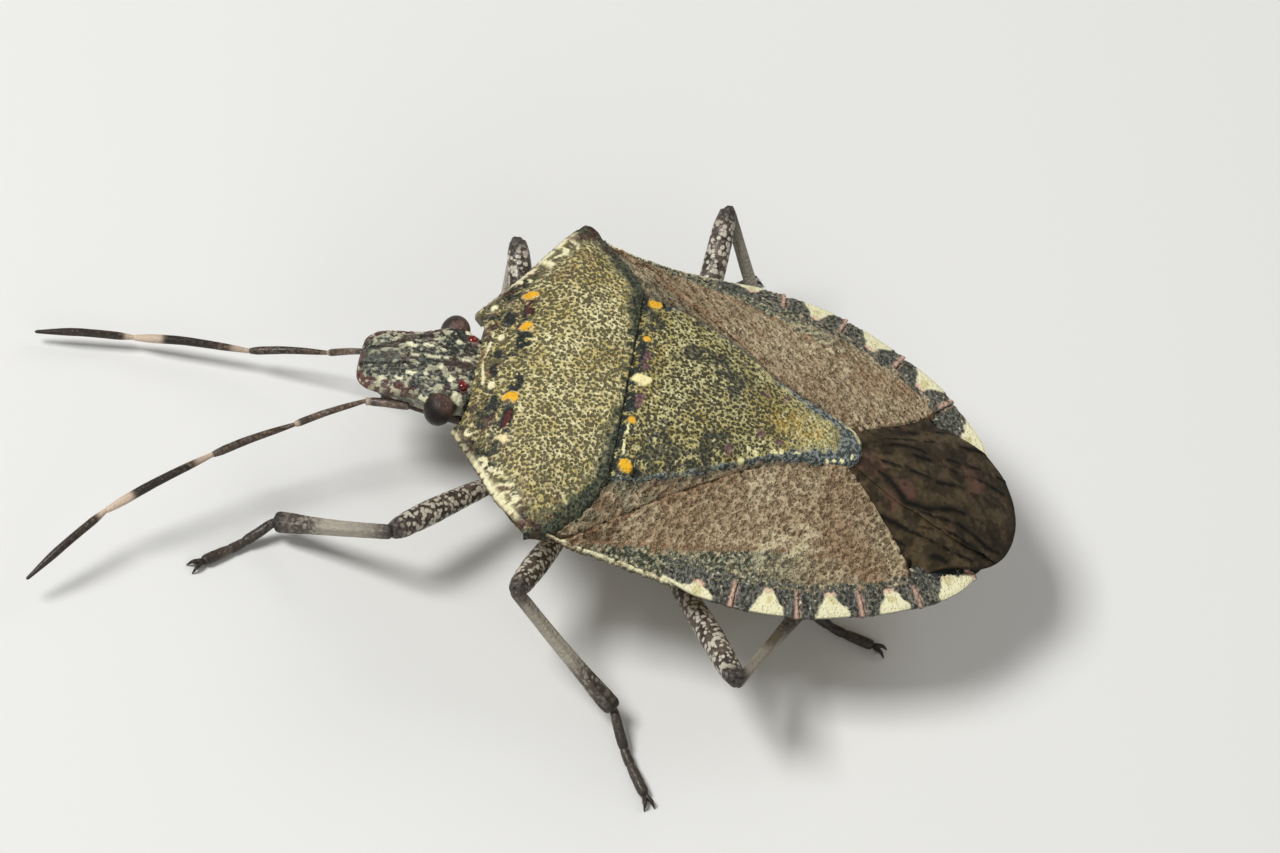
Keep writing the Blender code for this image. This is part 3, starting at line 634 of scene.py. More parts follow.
@dataclass(frozen=True)
class Shell(Finish):
    """The finish of a hard, pitted plate, with the marks that are painted on it."""

    pale: Colour = (0.6, 0.5, 0.3)
    ochre: Colour = (0.4, 0.3, 0.1)
    dark: Colour = (0.05, 0.05, 0.03)
    metal: Colour = (0.03, 0.036, 0.032)
    slate: Colour = (0.17, 0.19, 0.165)
    slate_dark: Colour = (0.05, 0.062, 0.055)
    wine: Colour = (0.09, 0.022, 0.02)
    ivory: Colour = (0.8, 0.75, 0.48)
    orange: Colour = (0.85, 0.42, 0.02)
    # grain is the colour of small pale specks: partly pale grain of the shell, partly painted glints of light.
    grain: Colour = (0.85, 0.82, 0.62)
    shade: Colour = (0.2, 0.165, 0.07)
    shade_strength: float = 0.5
    patch_scale: float = 900.0
    fleck_scale: float = 14000.0
    fleck_strength: float = 0.45
    grain_and_glint_strength: float = 0.5
    roughness: float = 0.46
    specular: float = 0.35
    coat: float = 0.06
    bump: float = 0.014

    def dress(self, graph: Graph, shader: bpy.types.Node) -> None:
        """Add the finish's nodes.

        Args:
            graph: the material's node tree.
            shader: its Principled shader.
        """
        place = graph.place()
        fleck = graph.group(fleck_group(), place=place, scale=self.fleck_scale)
        tone = graph.group(patch_group(), place=place, scale=self.patch_scale)["Mask"]
        grain = graph.noise(place, self.fleck_scale * 2, 1.0)
        rough_pit = graph.maths("ADD", graph.attribute("pit"), graph.maths("SUBTRACT", grain, 0.5))
        pit = graph.spread(rough_pit, 0.25, 0.8)
        dimmed = graph.maths("MAXIMUM", pit, graph.maths("MULTIPLY", fleck["Mask"],
                                                         self.fleck_strength))
        ground = graph.mix(tone, self.pale, self.ochre)
        shade = graph.spread(graph.noise(place, self.fleck_scale * 0.8, 2.0), 0.46, 0.62)
        ground = graph.mix(graph.maths("MULTIPLY", shade, self.shade_strength), ground, self.shade)
        # Pale specks between the pits: partly pale grain, partly painted glints of light.
        lit = graph.spread(graph.cells(place, self.fleck_scale * 0.6).outputs["Distance"], 0.34, 0.16)
        ground = graph.mix(graph.maths("MULTIPLY", lit, self.grain_and_glint_strength), ground, self.grain)
        colour = graph.mix(dimmed, ground, self.dark)
        metal, slate = graph.attribute("metal"), graph.attribute("slate")
        colour = graph.mix(metal, colour, self.metal)
        beads = graph.spread(graph.noise(place, self.fleck_scale * 0.9, 1.0), 0.4, 0.62)
        colour = graph.mix(slate, colour, graph.mix(beads, self.slate_dark, self.slate))
        for mark in ("wine", "ivory", "orange"):
            colour = graph.mix(graph.attribute(mark), colour, getattr(self, mark))
        graph.feed(shader.inputs["Base Color"], colour)
        graph.feed(shader.inputs["Metallic"], graph.maths("MULTIPLY", metal, 0.35))
        graph.feed(shader.inputs["Roughness"],
                   graph.spread(graph.noise(place, self.fleck_scale / 3), 0.3, 0.7,
                                self.roughness - 0.08, self.roughness + 0.12))
        shader.inputs["Specular IOR Level"].default_value = self.specular
        shader.inputs["Coat Weight"].default_value = self.coat
        shader.inputs["Coat Roughness"].default_value = 0.25
        add_bump(graph, shader, graph.maths("ADD", fleck["Height"], graph.maths("MULTIPLY", beads, slate)),
                 self.bump)


@dataclass(frozen=True)
class Wing(Finish):
    """The finish of the thin, veined end of a fore wing."""

    name: str = "membrane"
    light: Colour = (0.084, 0.06, 0.031)
    brown: Colour = (0.036, 0.026, 0.014)
    streak: Colour = (0.006, 0.005, 0.003)
    red: Colour = (0.12, 0.06, 0.042)

    def dress(self, graph: Graph, shader: bpy.types.Node) -> None:
        """Add the finish's nodes.

        Args:
            graph: the material's node tree.
            shader: its Principled shader.
        """
        place = graph.place()
        tone = graph.group(patch_group(), place=place, scale=1400.0)["Mask"]
        colour = graph.mix(tone, self.brown, self.light)
        flush = graph.spread(graph.noise(place, 1100.0, 3.0), 0.54, 0.68)
        colour = graph.mix(graph.maths("MULTIPLY", flush, 0.7), colour, self.red)
        colour = graph.mix(graph.attribute("streak"), colour, self.streak)
        graph.feed(shader.inputs["Base Color"], colour)
        wrinkle = graph.noise(place, 9000.0, 3.0)
        graph.feed(shader.inputs["Roughness"], graph.spread(wrinkle, 0.3, 0.7, 0.52, 0.7))
        shader.inputs["Specular IOR Level"].default_value = 0.13
        add_bump(graph, shader, wrinkle, 0.02)


@dataclass(frozen=True)
class Horn(Finish):
    """The finish of legs and feelers: brown horn with pale bands and speckles."""

    brown: Colour = (0.1, 0.07, 0.05)
    dark: Colour = (0.03, 0.02, 0.018)
    pale: Colour = (0.5, 0.45, 0.35)
    speckle_scale: float = 7000.0
    roughness: float = 0.42

    def dress(self, graph: Graph, shader: bpy.types.Node) -> None:
        """Add the finish's nodes.

        Args:
            graph: the material's node tree.
            shader: its Principled shader.
        """
        place = graph.place()
        tone = graph.group(patch_group(), place=place, scale=2500.0)["Mask"]
        colour = graph.mix(tone, self.brown, self.dark)
        ragged = graph.maths("MULTIPLY", graph.noise(place, self.speckle_scale * 0.7, 2.0), 0.8)
        dots = graph.maths("ADD", graph.cells(place, self.speckle_scale).outputs["Distance"], ragged)
        speckle = graph.maths("MULTIPLY", graph.spread(dots, 0.96, 0.78), graph.attribute("speckle"))
        colour = graph.mix(graph.maths("MAXIMUM", speckle, graph.attribute("pale")), colour, self.pale)
        colour = graph.mix(graph.attribute("black"), colour, self.dark)
        graph.feed(shader.inputs["Base Color"], colour)
        grain = graph.group(fleck_group(), place=place, scale=12000.0)["Height"]
        graph.feed(shader.inputs["Roughness"],
                   graph.spread(graph.noise(place, 6000.0), 0.3, 0.7, self.roughness - 0.08,
                                self.roughness + 0.12))
        shader.inputs["Specular IOR Level"].default_value = 0.35
        shader.inputs["Coat Weight"].default_value = 0.06
        add_bump(graph, shader, graph.maths("ADD", grain, speckle), 0.012)


@dataclass(frozen=True)
class Gloss(Finish):
    """The finish of an eye or an ocellus: a glossy dome, faceted on an eye, with painted light on its upper side and
    painted shade below.
    """

    # deep is the dome's painted shade colour and lit is its painted light colour.
    deep: Colour = (0.02, 0.01, 0.01)
    lit: Colour = (0.06, 0.03, 0.03)
    facets: float = 0.0
    roughness: float = 0.18
    specular: float = 0.5
    coat: float = 0.12

    def dress(self, graph: Graph, shader: bpy.types.Node) -> None:
        """Add the finish's nodes.

        Args:
            graph: the material's node tree.
            shader: its Principled shader.
        """
        place = graph.place()
        tone = graph.group(patch_group(), place=place, scale=3000.0)["Mask"]
        # Painted light and shade: the tone turns to the lit colour only where the painted light mask is high.
        lit = graph.maths("MULTIPLY", graph.spread(tone, -0.6, 1.0), graph.attribute("upper"))
        graph.feed(shader.inputs["Base Color"], graph.mix(lit, self.deep, self.lit))
        shader.inputs["Roughness"].default_value = self.roughness
        shader.inputs["Specular IOR Level"].default_value = self.specular
        shader.inputs["Coat Weight"].default_value = self.coat
        shader.inputs["Coat Roughness"].default_value = 0.3
        if self.facets:
            distance = graph.cells(place, self.facets).outputs["Distance"]
            add_bump(graph, shader, graph.maths("MULTIPLY", distance, -1.0), 0.008)


SHIELD = Shell("shield", pale=(0.72, 0.66, 0.37), ochre=(0.48, 0.39, 0.13), dark=(0.115, 0.1, 0.048),
               shade=(0.24, 0.205, 0.08), slate=(0.07, 0.078, 0.045), slate_dark=(0.016, 0.02, 0.012),
               orange=(0.76, 0.4, 0.015), specular=0.25)
SCUTELLUM = Shell("scutellum", pale=(0.56, 0.52, 0.26), ochre=(0.36, 0.29, 0.08), dark=(0.06, 0.052, 0.024),
                  shade=(0.17, 0.145, 0.05), slate=(0.21, 0.24, 0.225), slate_dark=(0.04, 0.05, 0.045),
                  wine=(0.15, 0.07, 0.09), ivory=(0.84, 0.78, 0.42), orange=(0.78, 0.42, 0.015), specular=0.25)
HEAD = Shell("head", pale=(0.24, 0.24, 0.18), ochre=(0.105, 0.11, 0.085), dark=(0.026, 0.026, 0.02),
             metal=(0.022, 0.027, 0.023), slate=(0.13, 0.14, 0.11), wine=(0.11, 0.04, 0.033), ivory=(0.76, 0.73, 0.5),
             shade=(0.08, 0.08, 0.065), grain=(0.5, 0.48, 0.36), grain_and_glint_strength=0.35, specular=0.25)
CORIUM = Shell("corium", pale=(0.5, 0.415, 0.265), ochre=(0.34, 0.255, 0.155), dark=(0.09, 0.06, 0.03),
               shade=(0.17, 0.12, 0.06), slate=(0.23, 0.24, 0.165), slate_dark=(0.055, 0.06, 0.04),
               wine=(0.27, 0.135, 0.07), grain=(0.6, 0.5, 0.33), grain_and_glint_strength=0.6, coat=0.0,
               roughness=0.55, specular=0.2, bump=0.03, patch_scale=650.0)
RIM = Shell("rim", pale=(0.2, 0.19, 0.15), ochre=(0.09, 0.095, 0.075), dark=(0.02, 0.02, 0.016),
            slate=(0.16, 0.16, 0.13), slate_dark=(0.03, 0.034, 0.026), wine=(0.6, 0.38, 0.28),
            ivory=(0.8, 0.76, 0.49), orange=(0.5, 0.44, 0.16))
UNDERSIDE = Shell("underside", pale=(0.58, 0.5, 0.34), ochre=(0.42, 0.34, 0.2), dark=(0.07, 0.06, 0.045))
LEG = Horn("leg", brown=(0.115, 0.085, 0.064), dark=(0.024, 0.018, 0.014), pale=(0.5, 0.46, 0.37),
           speckle_scale=8800.0)
ANTENNA = Horn("antenna", brown=(0.14, 0.08, 0.045), dark=(0.018, 0.013, 0.01), pale=(0.6, 0.47, 0.36),
               speckle_scale=12000.0)
# The deep and lit colours of the eyes and ocelli are their painted shade and painted light.
EYE = Gloss("eye", deep=(0.007, 0.004, 0.003), lit=(0.2, 0.118, 0.092), facets=45000.0, roughness=0.38,
            specular=0.25, coat=0.04)
OCELLUS = Gloss("ocellus", deep=(0.07, 0.005, 0.004), lit=(0.2, 0.014, 0.011))


@dataclass
class Plate:
    """A hard plate of the back: a sheet laid on the body, pitted and closed underneath.

    A plate gives the place, height and marks of each point (u, v) of its sheet.
    """

    body: Body
    name: str = "plate"
    slot: str = "shield"
    nodes: tuple[str, ...] = ()
    finish: Shell | Wing = SHIELD
    cells: tuple[int, int] = (100, 100)
    thickness: float = 0.11
    tuck: float = 0.98
    inset: float = 0.9
    pit_spacing: float = 0.078
    pit_sizes: tuple[float, float] = (0.26, 0.6)
    pit_depth: float = 0.03
    seed: int = 1

    def place(self, u: Array, v: Array) -> tuple[Array, Array]:
        """Return x and the station of each point of the sheet."""
        raise NotImplementedError

    def height(self, x: Array, s: Array, u: Array, v: Array) -> Array:
        """Return the height of each point, before the pits."""
        raise NotImplementedError

    def marks(self, x: Array, s: Array, u: Array, v: Array) -> Marks:
        """Return the masks of the plate's markings."""
        raise NotImplementedError

    def pits(self, x: Array, s: Array) -> Array:
        """Return the pits' mask, 1 on their floors."""
        distance, number = Scatter(self.pit_spacing, self.seed).nearest(x, s)
        ragged = 0.12 * (Mottle(self.pit_spacing * 0.6, self.seed)(x, s) - 0.5)
        size = blend(self.pit_sizes[0], self.pit_sizes[1], number)
        return 1 - rise(size - 0.1, size + 0.1, distance + ragged)

    def relief(self, x: Array, s: Array, marks: Marks) -> Array:
        """Return how deep each point lies, in units of the pits' depth."""
        return marks.get("pit", np.zeros_like(x))

    def build(self) -> bpy.types.Object:
        """Build, paint and dress the plate."""
        sheet = add_sheet(self.name, *self.cells)
        u, v, _ = vertices_of(sheet).T
        u = 2 * u - 1
        x, s = self.place(u, v)
        marks = self.marks(x, s, u, v)
        z = self.height(x, s, u, v) - self.pit_depth * self.relief(x, s, marks)
        move_vertices(sheet, self.body.to_world(np.column_stack((x, s, z))))
        close_sheet(sheet, self.thickness, self.tuck, self.inset)
        paint(sheet, marks)
        return finish_piece(sheet, self.finish.material(), self.nodes)


@dataclass
class Pronotum(Plate):
    """The shield behind the head, from its collar to its dark rear band."""

    name: str = "pronotum_plate"
    nodes: tuple[str, ...] = ("pronotum",)
    cells: tuple[int, int] = (460, 205)
    seed: int = 3
    front_corner: float = 1.63
    humerus: float = 4.33
    front: Curve = Curve((0.0, 2.46), (0.95, 2.48), (1.35, 2.42), (1.63, 2.24))
    rear: Curve = Curve((0.0, 5.7), (2.5, 5.72), (2.97, 5.58), (3.4, 5.34), (3.86, 4.93),
                        (4.2, 4.55), (4.33, 4.22))
    side_bulge: float = 0.07
    tooth_spacing: float = 0.05
    tooth_size: float = 0.018
    rear_band: tuple[float, float] = (0.19, 0.56)
    pale_line: float = 0.035
    pale_patches: tuple[tuple[float, float, float], ...] = ((0.54, 0.77, 0.2), (0.3, 0.5, 0.13))
    callosities: tuple[tuple[float, float], ...] = ((0.98, 3.3), (1.98, 3.29), (0.66, 2.84))
    callosity_size: tuple[float, float] = (0.1, 0.16)
    calli: tuple[float, float] = (1.45, 2.98)
    dark_patches: tuple[tuple[tuple[float, float], tuple[float, float], float], ...] = (
        ((0.57, 3.32), (0.3, 0.18), 0.0), ((1.2, 2.93), (0.38, 0.14), 0.1), ((2.3, 3.0), (0.36, 0.16), 0.5),
        ((1.5, 3.3), (0.4, 0.13), 0.0), ((0.25, 2.85), (0.2, 0.12), 0.0))

    def place(self, u: Array, v: Array) -> tuple[Array, Array]:
        """Return x and the station, with the sides bulged and finely toothed."""
        side = np.abs(u)
        x = blend(self.front_corner * side, self.humerus * side, v)
        s = blend(self.front(self.front_corner * side), self.rear(self.humerus * side), v)
        margin = side ** 12
        teeth = self.tooth_size * np.abs(np.sin(math.pi * v / self.tooth_spacing)) * rise(0.75, 0.6, v)
        push = margin * (self.side_bulge * peak(v - 0.72, 0.22) + teeth)
        return np.sign(u) * (x + push * 0.6), s - push * 0.8

    def rear_share(self, x: Array, s: Array) -> Array:
        """Return a mask of the smooth dark band along the rear edge."""
        ax = np.abs(x)
        distance = (self.rear(ax) - s) * blend(1.0, 0.72, rise(2.4, 3.6, ax))
        width = blend(self.rear_band[0], self.rear_band[1], rise(0.3, 2.8, ax))
        ragged = 0.2 * (Mottle(0.1, 12)(x, s) - 0.5)
        return 1 - rise(width * 0.45, width, distance + ragged)

    def margin(self, u: Array, v: Array) -> Array:
        """Return the distance from the side edge."""
        return (1 - np.abs(u)) * blend(self.front_corner, self.humerus, v)

    def height(self, x: Array, s: Array, u: Array, v: Array) -> Array:
        """Return the height, with the collar, the calli, the callosities and turned edges."""
        side, ax = np.abs(u), np.abs(x)
        margin = self.margin(u, v)
        z = self.body.back(x, s) + 0.02 * (Mottle(0.9, 5)(x, s) - 0.5)
        z += 0.04 * peak(margin - 0.04, 0.05) * rise(0.98, 0.85, v) - 0.05 * peak(margin - 0.2, 0.07)
        z -= 0.05 * peak(margin, 0.03)
        z -= 0.07 * peak(v, 0.02) + 0.035 * peak(v - 0.1, 0.025)
        z -= 0.11 * peak(1 - v, 0.014) + 0.02 * peak(1 - v - 0.07, 0.012)
        for centre in self.callosities:
            z += 0.035 * spot(ax, s, centre, self.callosity_size, -0.45)
        z -= 0.035 * spot(ax, s, self.calli, (0.75, 0.3))
        z += 0.035 * spot(ax, s, self.calli, (0.55, 0.17), 0.1)
        z += 0.02 * spot(ax, s, (0.0, 3.0), (0.06, 0.6))
        return z

    def marks(self, x: Array, s: Array, u: Array, v: Array) -> Marks:
        """Return the pits, dark and maroon patches, pale edges and callosities."""
        ax, margin = np.abs(x), self.margin(u, v)
        fine = Mottle(0.12, 12)(x, s)
        shift = 0.07 * (fine - 0.5)
        orange = sum(spot(ax + shift, s - shift, centre, self.callosity_size, -0.45)
                     for centre in self.callosities[:2])
        line = rise(self.pale_line + 0.02, self.pale_line - 0.01, margin) * rise(0.9, 0.8, v)
        line *= rise(0.0, 0.015, margin)
        ivory = line * rise(0.34, 0.55, fine + 0.12 * rise(0.3, 0.6, v)) * blend(0.4, 1.0, rise(0.25, 0.4, v))
        for low, high, depth in self.pale_patches:
            patch = rise(low - 0.03, low + 0.02, v) * rise(high + 0.03, high - 0.02, v)
            broken = rise(0.42, 0.6, Mottle(0.16, 17)(x, s) + 0.25 * (x < 0))
            deep = rise(depth, depth - 0.06, margin + 0.2 * (fine - 0.5)) * rise(0.0, 0.015, margin)
            ivory = np.maximum(ivory, 0.85 * patch * deep * broken)
        ivory = np.maximum(ivory, 0.9 * spot(ax, s, self.callosities[2], (0.1, 0.07)))
        collar = 0.8 * spot(ax, s + shift, (0.45, 2.66), (0.4, 0.03), 0.15) * rise(0.45, 0.65, fine)
        ivory = np.maximum(ivory, collar)
        ivory = np.maximum(ivory, spot(ax, s, (1.72, 2.6), (0.1, 0.08)) * rise(0.2, 0.4, fine))
        metal = np.zeros_like(x)
        for centre, radii, turn in self.dark_patches:
            metal = np.maximum(metal, spot(ax, s, centre, radii, turn) * rise(0.22, 0.42, fine))
        metal = np.maximum(metal, rise(3.6, 3.2, s) * rise(0.6, 0.8, Mottle(0.2, 14)(x, s)) * 0.8)
        slate = self.rear_share(x, s)
        corner = rise(0.26, 0.12, margin + 0.15 * (fine - 0.5)) * rise(0.77, 0.83, v)
        metal = np.maximum(metal, 0.9 * corner * rise(0.2, 0.45, Mottle(0.2, 18)(x, s)))
        metal = np.maximum(metal, 0.8 * rise(0.02, 0.0, margin))
        edge = peak(margin - 0.12, 0.1) * rise(0.86, 0.8, v) * rise(0.2, 0.45, fine)
        slate = np.maximum(slate, 0.9 * edge)
        wine = np.maximum(spot(ax, s, (1.5, 3.31), (0.24, 0.07), -0.1), spot(ax, s, (0.98, 3.16), (0.1, 0.06)))
        stains = rise(3.3, 2.9, s) * rise(0.7, 0.85, Mottle(0.17, 15)(x, s))
        stains = np.maximum(stains, corner * rise(0.45, 0.7, Mottle(0.2, 16)(x, s)))
        fringe = rise(0.2, 0.1, margin + 0.2 * (fine - 0.5)) * rise(0.25, 0.35, v) * rise(0.95, 0.9, v)
        stains = np.maximum(stains, 0.6 * rise(0.7, 0.82, Mottle(0.22, 25)(x, s)) * rise(1.0, 0.5, margin))
        stains = np.maximum(stains, 1.2 * fringe * rise(0.55, 0.7, Mottle(0.15, 19)(x, s)))
        wine = np.maximum(wine * rise(0.25, 0.5, fine), 0.5 * stains)
        smooth_parts = np.maximum.reduce([0.8 * ivory, orange, 0.85 * slate, wine])
        cream = 0.75 * orange * rise(1.6, 1.8, x)
        cloud = 0.24 * rise(0.4, 0.7, Mottle(0.75, 20)(x, s)) + 0.3 * rise(3.7, 2.7, s)
        cloud += 0.2 * rise(0.9, 0.4, margin) * rise(0.35, 0.65, Mottle(0.4, 24)(x, s))
        return {"pit": (self.pits(x, s) + cloud) * (1 - smooth_parts), "metal": metal * (1 - ivory),
                "slate": slate * (1 - ivory), "wine": wine, "ivory": np.maximum(ivory, orange),
                "orange": orange - cream}


@dataclass
class Scutellum(Plate):
    """The long triangle between the wings, with five pale spots on its base."""

    name: str = "scutellum_plate"
    nodes: tuple[str, ...] = ("scutellum",)
    finish: Shell = SCUTELLUM
    cells: tuple[int, int] = (260, 330)
    seed: int = 4
    base: float = 5.55
    tip: float = 11.07
    half_width: Curve = Curve((5.72, 2.6), (6.58, 2.33), (7.6, 1.88), (8.45, 1.4), (9.2, 1.0),
                              (10.2, 0.7), (10.75, 0.52), (11.0, 0.3), (11.07, 0.1))
    crown: float = 0.03
    tip_dots: tuple[tuple[float, float, float, float], ...] = (
        (0.59, 10.3, 0.05, 0.045), (0.55, 10.45, 0.04, 0.05), (0.45, 10.62, 0.05, 0.05),
        (0.3, 10.83, 0.05, 0.03))
    pale_spots: tuple[tuple[float, float, float, float], ...] = (
        (1.32, 8.41, 0.09, 0.07), (0.96, 8.53, 0.06, 0.05), (1.02, 8.7, 0.08, 0.08),
        (0.87, 9.1, 0.05, 0.1), (0.78, 9.25, 0.06, 0.05), (0.7, 9.6, 0.04, 0.08))
    violet_spots: tuple[tuple[float, float, float, float], ...] = (
        (0.54, 8.72, 0.12, 0.1), (0.58, 9.16, 0.1, 0.12), (1.2, 8.1, 0.1, 0.08))

    def place(self, u: Array, v: Array) -> tuple[Array, Array]:
        """Return x and the station, with the rows closer together at the tip."""
        s = blend(self.base, self.tip, 1 - (1 - v) ** 1.2)
        return self.half_width(s) * u, s

    def height(self, x: Array, s: Array, u: Array, v: Array) -> Array:
        """Return the height, with rounded edges, a sunk base and wrinkles."""
        side = np.abs(u)
        edge = (1 - side) * self.half_width(s)
        z = self.body.back(x, s) + self.crown * (1 - u * u)
        z -= 0.12 * peak(edge, 0.05) + 0.1 * peak(self.tip - s, 0.06)
        z -= 0.14 * rise(5.85, 5.6, s)
        z -= 0.025 * peak(edge - 0.17, 0.05) * rise(10.6, 9.8, s)
        z += 0.02 * (Mottle(0.5, 21)(x * 0.7, s * 1.6) - 0.5)
        for sign in (-1, 1):
            z += 0.04 * spot(x, s, (sign * 2.22, 5.97), (0.2, 0.18))
            z -= 0.1 * spot(x, s, (sign * 2.3, 6.22), (0.1, 0.1), sign * 0.5)
        return z

    def marks(self, x: Array, s: Array, u: Array, v: Array) -> Marks:
        """Return the pits, the base spots, the dark edges, the blue-grey tip and a painted highlight along the tip's
        far edge.
        """
        ax = np.abs(x)
        edge = (1 - np.abs(u)) * self.half_width(s)
        fine, patches = Mottle(0.12, 22)(x, s), Mottle(0.55, 23)(x, s)
        shift = 0.07 * (fine - 0.5)
        orange = spot(ax + shift, s - shift, (2.22, 5.97), (0.15, 0.18))
        ivory = spot(x + shift, s - shift, (0.02, 5.93), (0.16, 0.2))
        bar = spot(ax + shift, s - shift, (1.6, 5.84), (0.42, 0.04)) * rise(0.3, 0.5, fine)
        ivory = np.maximum(ivory, bar * blend(0.25, 0.9, x > 0))
        orange = np.maximum(orange, 0.9 * spot(ax, s, (1.12, 5.9), (0.08, 0.09)))
        orange = np.maximum(orange, 0.08 * ivory * rise(0.3, 0.1, ax))
        base = rise(6.05, 5.85, s) * rise(0.3, 0.5, fine + 0.1)
        cloud = rise(0.55, 0.8, patches) * rise(8.8, 7.8, s) * rise(0.15, 0.45, fine)
        metal = np.maximum.reduce([base, spot(ax, s, (2.3, 6.2), (0.14, 0.14)), 0.75 * cloud])
        border = blend(0.08, 0.32, rise(8.2, 10.2, s))
        slate = rise(border + 0.06, border - 0.06, edge + 0.12 * (fine - 0.5))
        slate = np.maximum(slate, rise(0.75, 0.5, self.tip - s + 0.12 * (fine - 0.5)))
        nearer = np.where(x > 0, 1.0, 0.45)
        wine = 0.8 * spot(ax, s, (0.5, 5.98), (0.3, 0.1)) * rise(0.35, 0.5, fine)
        for spots, strength in ((self.tip_dots, 1.0), (self.pale_spots, 0.75)):
            for cx, cs, rx, rs in spots:
                ivory = np.maximum(ivory, strength * nearer * spot(ax + shift, s, (cx, cs), (rx, rs)))
        for cx, cs, rx, rs in self.violet_spots:
            wine = np.maximum(wine, 0.7 * nearer * spot(ax + 2 * shift, s, (cx, cs), (rx, rs)))
        # Painted highlight: a pale line along the far edge of the tip, put into the ivory mark.
        lit_edge = peak(distance_to(x, s, ((-0.5, 10.6), (-0.38, 10.8), (-0.15, 10.95))), 0.035)
        ivory = np.maximum(ivory, 0.6 * lit_edge * rise(0.2, 0.5, fine))
        amber = 0.17 * spot(x + 3 * shift, s, (0.05, 9.6), (0.32, 0.75)) * rise(0.2, 0.5, fine)
        smooth_parts = np.maximum(ivory, orange)
        orange = np.maximum(orange, amber * (1 - slate))
        fading = blend(1.0, 0.6, rise(8.3, 10.0, s))
        pit = np.maximum(self.pits(x, s) * fading, 0.35 * rise(6.2, 8.0, s) * rise(10.2, 9.0, s)) * (1 - 0.8 * slate)
        return {"pit": pit * (1 - smooth_parts), "metal": metal * (1 - smooth_parts),
                "slate": slate * (1 - ivory), "wine": wine * (1 - ivory), "ivory": ivory, "orange": orange}


